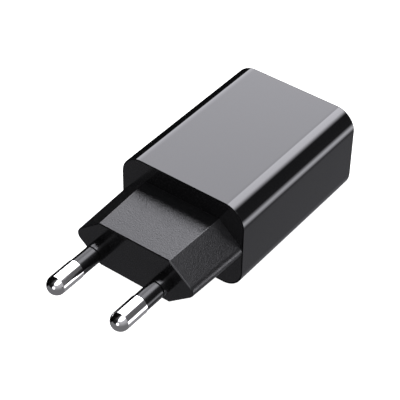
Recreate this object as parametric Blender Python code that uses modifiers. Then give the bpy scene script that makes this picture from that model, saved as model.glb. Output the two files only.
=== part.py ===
"""USB wall charger with two fixed round pins, lying on its broad side.

X runs across the width, +Y from the pins towards the USB port, +Z up. The underside rests on Z = 0.
"""

import math

import bmesh
import bpy
from mathutils import Vector

mm = 0.001

# Driving sizes, in millimetres
bodyWidth = 36.6
bodyHeight = 25.2
bodyLength = 48.0
bodyCornerRadius = 6.2
shellWall = 1.8
shellEndWall = 2.0
frontEdge = 0.15
portEndEdge = 0.5
frontRim = 0.4
rebateDepth = 2.0

plateThickness = 1.7
lipThickness = 1.2
lipLength = 4.0

plugLength = 18.5
plugFlatFront = 11.05
plugHalfFront = 17.5
plugThickFront = 6.35
plugFlatRear = 11.7
plugHalfRear = 18.0
plugThickRear = 6.85
plugVertexRadius = 1.5
plugEdgeRadius = 0.6
plugDrop = 0.3
plugWall = 2.0
plugFrontWall = 2.4
bossRadius = 3.3
bossLength = 8.0

pinSpacing = 19.0
pinLength = 19.0
pinRadius = 2.5
sleeveRadius = 2.35
sleeveWall = 0.55
sleeveLength = 9.7
sleeveBuried = 1.6
shankRadius = 1.5
flangeRadius = 2.3
flangeStart = 4.4
flangeEnd = 6.0
tailLength = 12.5

boardSideGap = 0.4
boardThickness = 1.2
boardStartGap = 6.15
boardLength = 39.5
leadRadius = 0.3
holeRadius = 0.65

portWidth = 12.5
portHeight = 5.12
portSheet = 0.3
portShellLength = 13.3
portSetback = 0.25
tongueWidth = 11.1
tongueThickness = 1.84

gap = 0.3

# Positions that follow from them
overallLength = pinLength + plugLength + bodyLength
plugFaceY = -overallLength / 2 + pinLength
bodyFrontY = plugFaceY + plugLength
bodyRearY = bodyFrontY + bodyLength
bodyMidZ = bodyHeight / 2
plugMidZ = bodyMidZ - plugDrop
pinX = pinSpacing / 2
shellInnerWidth = bodyWidth - 2 * shellWall
boardWidth = shellInnerWidth - 2 * boardSideGap
shellInnerHeight = bodyHeight - 2 * shellWall
portMidZ = bodyMidZ
portOuterWidth = portWidth + 2 * portSheet
portOuterHeight = portHeight + 2 * portSheet
boardTopZ = portMidZ - portOuterHeight / 2 - 0.64
boardBottomZ = boardTopZ - boardThickness
clearHeight = bodyHeight - shellWall - boardTopZ
boardEdgeX = boardWidth / 2
boardFrontY = bodyFrontY + boardStartGap
boardRearY = boardFrontY + boardLength
leadEndZ = boardBottomZ - 0.6
portRearY = bodyRearY - portSetback - portShellLength
boardHoles = []


def clearScene():
    for obj in list(bpy.data.objects):
        bpy.data.objects.remove(obj, do_unlink=True)


clearScene()
partsCollection = bpy.data.collections.new("usb_wall_charger")
cutterCollection = bpy.data.collections.new("cutters")
cutterCollection.hide_render = True
bpy.context.scene.collection.children.link(partsCollection)
bpy.context.scene.collection.children.link(cutterCollection)

# Colour, metallic and roughness of each kind of surface
surfaces = {
    "black_gloss": ((0.012, 0.012, 0.013), 0.0, 0.12),
    "black_textured": ((0.018, 0.018, 0.019), 0.0, 0.5),
    "nickel": ((0.78, 0.77, 0.74), 1.0, 0.12),
    "spring_brass": ((0.80, 0.58, 0.25), 1.0, 0.3),
    "board": ((0.02, 0.16, 0.06), 0.0, 0.4),
    "steel": ((0.62, 0.62, 0.63), 1.0, 0.25),
    "white_nylon": ((0.80, 0.80, 0.78), 0.0, 0.45),
    "gold": ((0.90, 0.66, 0.22), 1.0, 0.2),
    "aluminium": ((0.80, 0.80, 0.81), 1.0, 0.3),
    "green_film": ((0.03, 0.12, 0.08), 0.0, 0.25),
    "black_rubber": ((0.02, 0.02, 0.02), 0.0, 0.7),
    "tinned": ((0.70, 0.70, 0.70), 1.0, 0.25),
    "ferrite": ((0.05, 0.05, 0.055), 0.0, 0.6),
    "black_resin": ((0.03, 0.03, 0.03), 0.0, 0.5),
    "copper": ((0.72, 0.30, 0.12), 1.0, 0.3),
    "yellow_tape": ((0.80, 0.60, 0.05), 0.0, 0.3),
    "blue_epoxy": ((0.03, 0.16, 0.45), 0.0, 0.35),
    "grey_coating": ((0.30, 0.36, 0.34), 0.0, 0.45),
    "chip_ceramic": ((0.42, 0.30, 0.18), 0.0, 0.4),
}


def giveMaterial(obj, surface):
    color, metallic, roughness = surfaces[surface]
    material = bpy.data.materials.new(obj.name + "_" + surface)
    material.use_nodes = True
    shader = material.node_tree.nodes["Principled BSDF"]
    shader.inputs["Base Color"].default_value = (color[0], color[1], color[2], 1.0)
    shader.inputs["Metallic"].default_value = metallic
    shader.inputs["Roughness"].default_value = roughness
    obj.data.materials.append(material)


def addMesh(name, bm, surface):
    """Links the mesh as a part, or as a cutter when it has no surface."""
    bmesh.ops.recalc_face_normals(bm, faces=bm.faces)
    mesh = bpy.data.meshes.new(name)
    bm.to_mesh(mesh)
    bm.free()
    obj = bpy.data.objects.new(name, mesh)
    if surface is None:
        cutterCollection.objects.link(obj)
        obj.hide_render = True
        obj.display_type = "WIRE"
        return obj
    partsCollection.objects.link(obj)
    giveMaterial(obj, surface)
    mesh.shade_smooth()
    mesh.set_sharp_from_angle(angle=math.radians(35))
    return obj


def combine(target, other, operation):
    modifier = target.modifiers.new(operation.lower() + "_" + other.name, "BOOLEAN")
    modifier.operation = operation
    modifier.object = other
    modifier.solver = "EXACT"


def boxMesh(low, high):
    """A box between two corners, in millimetres."""
    bm = bmesh.new()
    addBox(bm, low, high)
    return bm


def addBox(bm, low, high):
    size = [(high[axis] - low[axis]) * mm for axis in range(3)]
    middle = [(high[axis] + low[axis]) / 2 * mm for axis in range(3)]
    made = bmesh.ops.create_cube(bm, size=1.0)["verts"]
    bmesh.ops.scale(bm, vec=size, verts=made)
    bmesh.ops.translate(bm, vec=middle, verts=made)
    return made


def bevelEdges(bm, edges, width, segments):
    bmesh.ops.bevel(
        bm,
        geom=edges,
        offset=width * mm,
        offset_type="OFFSET",
        segments=segments,
        profile=0.5,
        affect="EDGES",
        clamp_overlap=True,
        material=-1,
    )


def edgesAlong(bm, axis):
    """The edges that run mainly along one axis."""
    found = []
    for edge in bm.edges:
        step = edge.verts[1].co - edge.verts[0].co
        if abs(step[axis]) > 0.8 * step.length:
            found.append(edge)
    return found


def roundedPrism(width, height, radius, startY, endY, middleZ, segments):
    """A rounded rectangle in XZ, drawn out along Y."""
    bm = boxMesh(
        (-width / 2, startY, middleZ - height / 2),
        (width / 2, endY, middleZ + height / 2),
    )
    bevelEdges(bm, edgesAlong(bm, 1), radius, segments)
    return bm


def softBox(low, high, width, segments):
    bm = boxMesh(low, high)
    bevelEdges(bm, list(bm.edges), width, segments)
    return bm


def turned(name, profile, surface, position, direction, steps, closedLoop=False):
    """Turns a profile of (radius, height) pairs, with its height laid along the direction."""
    bm = bmesh.new()
    verts = [bm.verts.new((radius * mm, 0.0, height * mm)) for radius, height in profile]
    for first, second in zip(verts, verts[1:]):
        bm.edges.new((first, second))
    if closedLoop:
        bm.edges.new((verts[-1], verts[0]))
    mesh = bpy.data.meshes.new(name)
    bm.to_mesh(mesh)
    bm.free()
    obj = bpy.data.objects.new(name, mesh)
    obj.location = [value * mm for value in position]
    obj.rotation_mode = "QUATERNION"
    obj.rotation_quaternion = Vector(direction).to_track_quat("Z", "Y")
    screw = obj.modifiers.new("turn", "SCREW")
    screw.axis = "Z"
    screw.angle = math.radians(360)
    screw.steps = steps
    screw.render_steps = steps
    screw.use_merge_vertices = True
    screw.merge_threshold = 0.00001
    screw.use_smooth_shade = True
    if surface is None:
        cutterCollection.objects.link(obj)
        obj.hide_render = True
        obj.display_type = "WIRE"
        return obj
    partsCollection.objects.link(obj)
    giveMaterial(obj, surface)
    return obj


def wire(name, points, radius, surface):
    """A round wire along the points, with its ends filled."""
    curve = bpy.data.curves.new(name, "CURVE")
    curve.dimensions = "3D"
    curve.bevel_depth = radius * mm
    curve.bevel_resolution = 2
    curve.use_fill_caps = True
    spline = curve.splines.new("POLY")
    spline.points.add(len(points) - 1)
    for point, place in zip(spline.points, points):
        point.co = (place[0] * mm, place[1] * mm, place[2] * mm, 1.0)
    obj = bpy.data.objects.new(name, curve)
    partsCollection.objects.link(obj)
    giveMaterial(obj, surface)
    return obj


def bentLead(name, start, forward, run, bend, endZ, surface):
    """A lead that leaves along forward, turns down through a bend and ends at endZ."""
    start = Vector(start)
    forward = Vector(forward)
    down = Vector((0, 0, -1))
    corner = start + forward * (run - bend)
    points = [start]
    for step in range(5):
        angle = math.radians(90 * step / 4)
        points.append(corner + forward * bend * math.sin(angle) + down * bend * (1 - math.cos(angle)))
    landing = points[-1]
    points.append(Vector((landing.x, landing.y, endZ)))
    boardHoles.append((landing.x, landing.y))
    return wire(name, points, leadRadius, surface)


def strip(name, route, middleX, width, thickness, surface):
    """Sheet bent along a route of (y, z) points: an open surface, then Solidify."""
    bm = bmesh.new()
    left = [bm.verts.new(((middleX - width / 2) * mm, y * mm, z * mm)) for y, z in route]
    right = [bm.verts.new(((middleX + width / 2) * mm, y * mm, z * mm)) for y, z in route]
    for index in range(len(route) - 1):
        bm.faces.new((left[index], right[index], right[index + 1], left[index + 1]))
    obj = addMesh(name, bm, surface)
    solid = obj.modifiers.new("sheet", "SOLIDIFY")
    solid.thickness = thickness * mm
    solid.offset = 0.0
    solid.use_even_offset = True
    return obj


# Housing: a tube that is closed at the port end, with a rebate for the front cover
def makeHousing():
    outer = roundedPrism(bodyWidth, bodyHeight, bodyCornerRadius, bodyFrontY, bodyRearY, bodyMidZ, 8)
    for endY, edge in ((bodyFrontY, frontEdge), (bodyRearY, portEndEdge)):
        rim = [e for e in outer.edges if all(abs(v.co.y - endY * mm) < 0.000001 for v in e.verts)]
        bevelEdges(outer, rim, edge, 1)
    housing = addMesh("housing_shell", outer, "black_gloss")
    cavityRadius = bodyCornerRadius - shellWall
    cavity = roundedPrism(
        shellInnerWidth,
        shellInnerHeight,
        cavityRadius,
        bodyFrontY - 1,
        bodyRearY - shellEndWall,
        bodyMidZ,
        6,
    )
    combine(housing, addMesh("cut_housing_cavity", cavity, None), "DIFFERENCE")
    rebate = roundedPrism(
        bodyWidth - 2 * frontRim,
        bodyHeight - 2 * frontRim,
        bodyCornerRadius - frontRim,
        bodyFrontY - 1,
        bodyFrontY + rebateDepth,
        bodyMidZ,
        8,
    )
    combine(housing, addMesh("cut_housing_rebate", rebate, None), "DIFFERENCE")
    mouth = roundedPrism(
        portOuterWidth + 2 * gap,
        portOuterHeight + 2 * gap,
        0.6,
        bodyRearY - shellEndWall - 1,
        bodyRearY + 1,
        portMidZ,
        2,
    )
    combine(housing, addMesh("cut_port_mouth", mouth, None), "DIFFERENCE")
    railStart = boardFrontY + 1.0
    railEnd = bodyRearY - shellEndWall + 0.5
    railDepth = 1.1
    railHeight = 1.0
    innerX = shellInnerWidth / 2
    rails = bmesh.new()
    for side in (-1, 1):
        nearX = side * (innerX - railDepth)
        farX = side * (innerX + 0.4)
        for lowZ in (boardBottomZ - gap - railHeight, boardTopZ + gap):
            low = (min(nearX, farX), railStart, lowZ)
            high = (max(nearX, farX), railEnd, lowZ + railHeight)
            addBox(rails, low, high)
    combine(housing, addMesh("add_board_rails", rails, None), "UNION")
    return housing


def plugBlock(startY, endY, inset, endFace):
    """The six-sided block in XZ, inset from its outer faces, and drafted along Y."""
    bm = bmesh.new()
    bmesh.ops.create_cone(bm, cap_ends=True, segments=6, radius1=1.0, radius2=1.0, depth=2.0)
    for vert in bm.verts:
        place = endY if vert.co.z > 0 else startY
        share = (place - plugFaceY) / plugLength
        flat = plugFlatFront + (plugFlatRear - plugFlatFront) * share
        half = plugHalfFront + (plugHalfRear - plugHalfFront) * share
        thick = plugThickFront + (plugThickRear - plugThickFront) * share
        slope = math.atan2(thick, half - flat)
        half = half - inset / math.sin(slope)
        flat = flat - inset * math.tan(slope / 2)
        thick = thick - inset
        across = vert.co.y
        upward = vert.co.x
        if abs(across) > 0.9:
            x = math.copysign(half, across)
            z = 0.0
        else:
            x = math.copysign(flat, across)
            z = math.copysign(thick, upward)
        vert.co = Vector((x * mm, place * mm, (plugMidZ + z) * mm))
    bmesh.ops.recalc_face_normals(bm, faces=bm.faces)
    long = edgesAlong(bm, 1)
    vertexEdges = [e for e in long if abs(e.verts[0].co.z - plugMidZ * mm) < 0.00001]
    bevelEdges(bm, vertexEdges, plugVertexRadius * (0.6 if inset else 1.0), 4)
    if endFace:
        ridgeEdges = [e for e in edgesAlong(bm, 1) if abs(e.verts[0].co.z - plugMidZ * mm) > 0.005]
        bevelEdges(bm, ridgeEdges, plugEdgeRadius, 2)
        rim = [e for e in bm.edges if all(abs(v.co.y - startY * mm) < 0.000001 for v in e.verts)]
        bevelEdges(bm, rim, 0.35, 1)
    return bm


# Front cover: the plate that closes the housing, with the hollow plug block and its pin bosses
def makeFrontCover():
    inset = frontRim + gap
    plate = roundedPrism(
        bodyWidth - 2 * inset,
        bodyHeight - 2 * inset,
        bodyCornerRadius - inset,
        bodyFrontY,
        bodyFrontY + plateThickness,
        bodyMidZ,
        8,
    )
    cover = addMesh("front_cover", plate, "black_textured")
    lipInset = shellWall + gap
    lip = roundedPrism(
        bodyWidth - 2 * lipInset,
        bodyHeight - 2 * lipInset,
        bodyCornerRadius - lipInset,
        bodyFrontY + plateThickness - 0.5,
        bodyFrontY + plateThickness + lipLength,
        bodyMidZ,
        6,
    )
    combine(cover, addMesh("add_cover_lip", lip, None), "UNION")
    lipHollowInset = lipInset + lipThickness
    lipHollow = roundedPrism(
        bodyWidth - 2 * lipHollowInset,
        bodyHeight - 2 * lipHollowInset,
        bodyCornerRadius - lipHollowInset,
        bodyFrontY + plateThickness,
        bodyFrontY + plateThickness + lipLength + 1,
        bodyMidZ,
        4,
    )
    combine(cover, addMesh("cut_cover_lip", lipHollow, None), "DIFFERENCE")
    block = plugBlock(plugFaceY, bodyFrontY + 0.8, 0.0, True)
    combine(cover, addMesh("add_plug_block", block, None), "UNION")
    hollow = plugBlock(plugFaceY + plugFrontWall, bodyFrontY + plateThickness + 0.7, plugWall, False)
    combine(cover, addMesh("cut_plug_hollow", hollow, None), "DIFFERENCE")
    for side in (-1, 1):
        word = "left" if side < 0 else "right"
        position = (side * pinX, plugFaceY, plugMidZ)
        boss = turned(
            "add_pin_boss_" + word,
            [(0, -1.2), (bossRadius, -1.2), (bossRadius, -bossLength), (0, -bossLength)],
            None,
            position,
            (0, -1, 0),
            24,
        )
        combine(cover, boss, "UNION")
        bore = turned(
            "cut_pin_bore_" + word,
            [
                (0, 1.0),
                (sleeveRadius + gap, 1.0),
                (sleeveRadius + gap, -sleeveBuried - gap),
                (shankRadius + gap, -sleeveBuried - gap),
                (shankRadius + gap, -flangeStart + gap),
                (flangeRadius + gap, -flangeStart + gap),
                (flangeRadius + gap, -flangeEnd - gap),
                (shankRadius + gap, -flangeEnd - gap),
                (shankRadius + gap, -bossLength - 1),
                (0, -bossLength - 1),
            ],
            None,
            position,
            (0, -1, 0),
            24,
        )
        combine(cover, bore, "DIFFERENCE")
    return cover


# Pins: a round nose and a full-size tip, then a thinner shank inside the insulating sleeve
def makePins():
    for side in (-1, 1):
        word = "left" if side < 0 else "right"
        position = (side * pinX, plugFaceY, plugMidZ)
        profile = []
        for step in range(7):
            angle = math.radians(90 * step / 6)
            height = pinLength - pinRadius + pinRadius * math.cos(angle)
            profile.append((pinRadius * math.sin(angle), height))
        profile += [
            (pinRadius, sleeveLength),
            (shankRadius, sleeveLength),
            (shankRadius, -flangeStart),
            (flangeRadius, -flangeStart),
            (flangeRadius, -flangeEnd),
            (shankRadius, -flangeEnd),
            (shankRadius, -tailLength),
            (0, -tailLength),
        ]
        turned("pin_" + word, profile, "nickel", position, (0, -1, 0), 24)
        sleeveTop = sleeveLength - gap
        sleeveInner = sleeveRadius - sleeveWall
        ring = [
            (sleeveInner, sleeveTop),
            (sleeveRadius, sleeveTop),
            (sleeveRadius, -sleeveBuried),
            (sleeveInner, -sleeveBuried),
        ]
        turned("pin_sleeve_" + word, ring, "black_gloss", position, (0, -1, 0), 24, True)


# Contact strips: sprung sheet from each pin's tail to the front of the board
def makeContactStrips():
    thickness = 0.4
    width = 3.0
    contactZ = plugMidZ - shankRadius - gap - thickness / 2
    footZ = boardTopZ + gap + thickness / 2
    tailY = plugFaceY + tailLength
    route = [
        (tailY - 3.6, contactZ),
        (tailY + 0.6, contactZ),
        (boardFrontY - 1.4, contactZ),
        (boardFrontY + 0.3, footZ),
        (boardFrontY + 3.2, footZ),
    ]
    for side in (-1, 1):
        word = "left" if side < 0 else "right"
        strip("contact_strip_" + word, route, side * pinX, width, thickness, "spring_brass")


# Electrolytic capacitors, lying down: can, printed film, rubber bung and two leads
def makeCapacitor(prefix, radius, length, start, direction, pitch, run):
    direction = Vector(direction)
    start = Vector(start)
    film = 0.25
    canRadius = radius - film - gap
    can = [
        (0, 0.3),
        (canRadius - 0.4, 0.3),
        (canRadius, 0.7),
        (canRadius, length - 3.2),
        (canRadius - 0.4, length - 2.8),
        (canRadius, length - 2.4),
        (canRadius, length - 0.3),
        (canRadius - 0.5, length - 0.3),
        (canRadius - 0.5, length - 2.0),
        (0, length - 2.0),
    ]
    turned(prefix + "_can", list(reversed(can)), "aluminium", start, direction, 16)
    ring = [(radius, length - 0.6), (radius, 0), (radius - film, 0), (radius - film, length - 0.6)]
    turned(prefix + "_film", ring, "green_film", start, direction, 16, True)
    bungRadius = canRadius - 0.5 - gap
    bung = [(0, length - 0.2), (bungRadius, length - 0.2), (bungRadius, length - 1.7), (0, length - 1.7)]
    turned(prefix + "_bung", bung, "black_rubber", start, direction, 16)
    across = Vector((direction.y, direction.x, 0))
    for number, offset in ((1, -pitch / 2), (2, pitch / 2)):
        begin = start + direction * (length - 0.2 + gap) + across * offset
        bentLead(prefix + "_lead_" + str(number), begin, direction, run, 0.9, leadEndZ, "tinned")


def makeCapacitors():
    inputRadius = 4.0
    inputLength = boardEdgeX - 4.1
    inputY = boardFrontY + 8.4
    inputZ = boardTopZ + 0.4 + inputRadius
    for side in (-1, 1):
        word = "1" if side < 0 else "2"
        start = (side * (boardEdgeX - 1.1), inputY, inputZ)
        makeCapacitor("input_capacitor_" + word, inputRadius, inputLength, start, (-side, 0, 0), 3.5, 1.7)
    outputRadius = 3.6
    outputLength = 11.0
    start = (boardEdgeX - 4.7, boardRearY - 0.8, boardTopZ + 0.4 + outputRadius)
    makeCapacitor("output_capacitor", outputRadius, outputLength, start, (0, -1, 0), 2.5, 1.7)


# Transformer: two ferrite E halves, a bobbin with terminals, two windings and their tape
def makeTransformer():
    middleY = boardFrontY + 19.5
    middleZ = boardTopZ + 0.51 * clearHeight
    coreHalfY = 6.5
    coreHalfZ = 0.203 * clearHeight
    backThickness = 1.7
    outerLeg = 1.7
    centreLeg = 1.5
    coreEndX = 6.3
    for side in (-1, 1):
        word = "left" if side < 0 else "right"
        inner = 0.15 * side
        outer = coreEndX * side
        low = (min(inner, outer), middleY - coreHalfY, middleZ - coreHalfZ)
        high = (max(inner, outer), middleY + coreHalfY, middleZ + coreHalfZ)
        core = addMesh("transformer_core_" + word, softBox(low, high, 0.3, 1), "ferrite")
        slots = bmesh.new()
        slotEnd = (coreEndX - backThickness) * side
        slotStart = -side
        for sign in (-1, 1):
            near = middleY + sign * centreLeg
            far = middleY + sign * (coreHalfY - outerLeg)
            low = (min(slotStart, slotEnd), min(near, far), middleZ - coreHalfZ - 1)
            high = (max(slotStart, slotEnd), max(near, far), middleZ + coreHalfZ + 1)
            addBox(slots, low, high)
        combine(core, addMesh("cut_core_window_" + word, slots, None), "DIFFERENCE")
    tubeEndX = coreEndX - backThickness - gap
    tubeY = centreLeg + gap + 0.5
    tubeZ = coreHalfZ + gap + 0.5
    flangeThickness = 0.7
    flangeY = coreHalfY - outerLeg - gap
    flangeZ = 0.41 * clearHeight
    bobbin = addMesh(
        "transformer_bobbin",
        boxMesh(
            (-tubeEndX, middleY - tubeY, middleZ - tubeZ),
            (tubeEndX, middleY + tubeY, middleZ + tubeZ),
        ),
        "black_resin",
    )
    railTopZ = middleZ - coreHalfZ - gap
    railLowZ = boardTopZ + 0.6
    for side in (-1, 1):
        word = "left" if side < 0 else "right"
        near = side * (tubeEndX - flangeThickness)
        far = side * (tubeEndX - 0.02)
        low = (min(near, far), middleY - flangeY, middleZ - flangeZ)
        high = (max(near, far), middleY + flangeY, middleZ + flangeZ)
        combine(bobbin, addMesh("add_bobbin_flange_" + word, boxMesh(low, high), None), "UNION")
        far = side * 7.8
        near = side * (tubeEndX - flangeThickness + 0.05)
        low = (min(near, far), middleY - 5.6, railLowZ)
        high = (max(near, far), middleY + 5.6, railTopZ)
        combine(bobbin, addMesh("add_bobbin_rail_" + word, boxMesh(low, high), None), "UNION")
    bore = boxMesh(
        (-tubeEndX - 1, middleY - centreLeg - gap, middleZ - coreHalfZ - gap),
        (tubeEndX + 1, middleY + centreLeg + gap, middleZ + coreHalfZ + gap),
    )
    combine(bobbin, addMesh("cut_bobbin_bore", bore, None), "DIFFERENCE")
    number = 0
    for side in (-1, 1):
        for offset in (-4.0, 0.0, 4.0):
            number += 1
            place = (side * 6.9, middleY + offset)
            top = railLowZ + 1.6
            hole = turned(
                "cut_terminal_hole_" + str(number),
                [
                    (0, top + gap),
                    (leadRadius + gap, top + gap),
                    (leadRadius + gap, railLowZ - 1),
                    (0, railLowZ - 1),
                ],
                None,
                (place[0], place[1], 0),
                (0, 0, 1),
                12,
            )
            combine(bobbin, hole, "DIFFERENCE")
            turned(
                "transformer_terminal_" + str(number),
                [(0, top), (leadRadius, top), (leadRadius, leadEndZ), (0, leadEndZ)],
                "tinned",
                (place[0], place[1], 0),
                (0, 0, 1),
                12,
            )
            boardHoles.append(place)
    windingX = tubeEndX - flangeThickness - gap
    layers = (
        ("primary_winding", "copper", gap, 0.9),
        ("secondary_winding", "copper", gap + 0.9 + 0.15, 0.6),
        ("winding_tape", "yellow_tape", gap + 0.9 + 0.15 + 0.6 + 0.15, 0.2),
    )
    for name, surface, lift, thickness in layers:
        innerY = tubeY + lift
        innerZ = tubeZ + lift
        outerY = innerY + thickness
        outerZ = innerZ + thickness
        layer = boxMesh(
            (-windingX, middleY - outerY, middleZ - outerZ),
            (windingX, middleY + outerY, middleZ + outerZ),
        )
        bevelEdges(layer, edgesAlong(layer, 0), lift + thickness, 4)
        ring = addMesh(name, layer, surface)
        hole = boxMesh(
            (-windingX - 1, middleY - innerY, middleZ - innerZ),
            (windingX + 1, middleY + innerY, middleZ + innerZ),
        )
        bevelEdges(hole, edgesAlong(hole, 0), lift, 4)
        combine(ring, addMesh("cut_" + name, hole, None), "DIFFERENCE")
    band = boxMesh(
        (-coreEndX - gap - 0.2, middleY - coreHalfY - gap - 0.2, middleZ - 2.2),
        (coreEndX + gap + 0.2, middleY + coreHalfY + gap + 0.2, middleZ + 2.2),
    )
    tape = addMesh("core_tape", band, "yellow_tape")
    hole = boxMesh(
        (-coreEndX - gap, middleY - coreHalfY - gap, middleZ - 3),
        (coreEndX + gap, middleY + coreHalfY + gap, middleZ + 3),
    )
    combine(tape, addMesh("cut_core_tape", hole, None), "DIFFERENCE")


# Fusible resistor across the front of the board
def makeFuse():
    y = boardFrontY + 2.0
    z = boardTopZ + 2.1
    half = 3.2
    body = [(0, half), (1.5, half), (1.7, half - 0.4), (1.7, half - 1.1), (1.4, half - 1.5)]
    body += [(radius, -height) for radius, height in reversed(body)]
    turned("fusible_resistor_body", body, "grey_coating", (0, y, z), (1, 0, 0), 16)
    for side, word in ((-1, "left"), (1, "right")):
        begin = (side * (half + gap), y, z)
        bentLead("fusible_resistor_lead_" + word, begin, (side, 0, 0), 1.9, 0.9, leadEndZ, "tinned")


# Safety capacitor: an upright disc beside the transformer
def makeDiscCapacitor():
    x = -boardEdgeX + 3.8
    y = boardFrontY + 20.5
    radius = 4.0
    half = 1.5
    z = boardTopZ + 0.9 + radius
    profile = []
    for step in range(7):
        angle = math.radians(180 * step / 6)
        profile.append((radius - half + half * math.sin(angle), half * math.cos(angle)))
    profile = [(0, half)] + profile + [(0, -half)]
    turned("safety_capacitor_disc", profile, "blue_epoxy", (x, y, z), (1, 0, 0), 20)
    for number, offset in ((1, -2.5), (2, 2.5)):
        top = z - math.sqrt(radius ** 2 - offset ** 2) - gap
        rod = [(0, top), (leadRadius, top), (leadRadius, leadEndZ), (0, leadEndZ)]
        name = "safety_capacitor_lead_" + str(number)
        turned(name, rod, "tinned", (x, y + offset, 0), (0, 0, 1), 12)
        boardHoles.append((x, y + offset))


# Filter choke: a ferrite drum with its winding
def makeChoke():
    x = boardEdgeX - 4.0
    y = boardFrontY + 17.2
    base = boardTopZ + gap
    hub = 1.6
    outer = 2.95
    drum = [
        (0, base + 7.0),
        (outer, base + 7.0),
        (outer, base + 5.8),
        (hub, base + 5.8),
        (hub, base + 1.2),
        (outer, base + 1.2),
        (outer, base),
        (0, base),
    ]
    turned("filter_choke_drum", drum, "ferrite", (x, y, 0), (0, 0, 1), 20)
    ring = [
        (hub + gap, base + 5.5),
        (outer - 0.3, base + 5.5),
        (outer - 0.3, base + 1.5),
        (hub + gap, base + 1.5),
    ]
    turned("filter_choke_winding", ring, "copper", (x, y, 0), (0, 0, 1), 20, True)


# Chips: a moulded body with a row of legs on two sides, above or below the board
def makeChip(name, x, y, size, legs, pitch, above, surface):
    width, depth, height = size
    if above:
        lowZ = boardTopZ + gap + 0.15
    else:
        lowZ = boardBottomZ - gap - 0.15 - height
    body = softBox((x - width / 2, y - depth / 2, lowZ), (x + width / 2, y + depth / 2, lowZ + height), 0.2, 1)
    chip = addMesh(name, body, surface)
    if not legs:
        return
    feet = bmesh.new()
    footLow = boardTopZ + gap if above else boardBottomZ - gap - 0.35
    for side in (-1, 1):
        for index in range(legs):
            middle = x + (index - (legs - 1) / 2) * pitch
            near = y + side * (depth / 2 - 0.4)
            far = y + side * (depth / 2 + 0.9)
            low = (middle - 0.25, min(near, far), footLow)
            high = (middle + 0.25, max(near, far), footLow + 0.35)
            addBox(feet, low, high)
    combine(chip, addMesh("add_" + name + "_legs", feet, None), "UNION")


def makeChips():
    makeChip("bridge_rectifier", -7.0, boardFrontY + 8.4, (4.8, 4.0, 1.6), 2, 2.54, False, "black_resin")
    makeChip("controller_chip", 0.0, boardFrontY + 19.5, (4.9, 3.9, 1.5), 4, 1.27, False, "black_resin")
    makeChip("output_diode", -boardEdgeX + 4.7, boardFrontY + 32.5, (4.6, 6.0, 2.2), 1, 1.0, True, "black_resin")
    makeChip("chip_resistor_1", -3.0, boardFrontY + 14.0, (2.0, 1.25, 0.6), 0, 0, False, "black_resin")
    makeChip("chip_resistor_2", 1.0, boardFrontY + 30.0, (2.0, 1.25, 0.6), 0, 0, False, "black_resin")
    makeChip("chip_capacitor", -4.0, boardFrontY + 30.0, (3.2, 1.6, 1.2), 0, 0, False, "chip_ceramic")


# USB socket: steel shell, insulator with its tongue, and four contacts
def makePort():
    frontY = bodyRearY - portSetback
    shell = addMesh(
        "usb_shell",
        roundedPrism(portOuterWidth, portOuterHeight, 0.6, portRearY, frontY, portMidZ, 2),
        "steel",
    )
    bore = roundedPrism(portWidth, portHeight, 0.35, portRearY - 1, frontY + 1, portMidZ, 2)
    combine(shell, addMesh("cut_usb_shell_bore", bore, None), "DIFFERENCE")
    legY = frontY - 6.5
    tabs = bmesh.new()
    for side in (-1, 1):
        inner = side * (portWidth / 2 + 0.05)
        outer = side * (portOuterWidth / 2 - 0.05)
        low = (min(inner, outer), legY - 0.8, leadEndZ)
        high = (max(inner, outer), legY + 0.8, portMidZ - 1.2)
        addBox(tabs, low, high)
    combine(shell, addMesh("add_usb_shell_tabs", tabs, None), "UNION")

    baseEndY = portRearY + 4.0
    tongueTopZ = portMidZ + portHeight / 2 - 0.6
    tongueLowZ = tongueTopZ - tongueThickness
    tongueEndY = frontY - 1.0
    clear = gap
    base = addMesh(
        "usb_insulator",
        boxMesh(
            (-portWidth / 2 + clear, portRearY + 0.3, portMidZ - portHeight / 2 + clear),
            (portWidth / 2 - clear, baseEndY, portMidZ + portHeight / 2 - clear),
        ),
        "white_nylon",
    )
    tongue = boxMesh(
        (-tongueWidth / 2, baseEndY - 1.0, tongueLowZ),
        (tongueWidth / 2, tongueEndY, tongueTopZ),
    )
    tip = [e for e in tongue.edges if all(v.co.y > (tongueEndY - 0.01) * mm for v in e.verts)]
    bevelEdges(tongue, tip, 0.3, 1)
    combine(base, addMesh("add_usb_tongue", tongue, None), "UNION")
    contactWidth = 1.0
    contactThickness = 0.25
    contactZ = tongueLowZ - gap - contactThickness / 2
    positions = (-3.5, -1.0, 1.0, 3.5)
    slots = bmesh.new()
    for x in positions:
        low = (x - contactWidth / 2 - gap, portRearY - 1, contactZ - contactThickness / 2 - gap)
        high = (x + contactWidth / 2 + gap, baseEndY + 1, contactZ + contactThickness / 2 + gap - 0.05)
        addBox(slots, low, high)
    combine(base, addMesh("cut_contact_slots", slots, None), "DIFFERENCE")
    footZ = boardTopZ + gap + contactThickness / 2
    route = [
        (tongueEndY - 0.8, contactZ),
        (portRearY - 0.2, contactZ),
        (portRearY - 0.6, contactZ - 0.4),
        (portRearY - 0.6, footZ + 0.4),
        (portRearY - 1.0, footZ),
        (portRearY - 1.7, footZ),
    ]
    for number, x in enumerate(positions, start=1):
        strip("usb_contact_" + str(number), route, x, contactWidth, contactThickness, "gold")
    return legY


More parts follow.
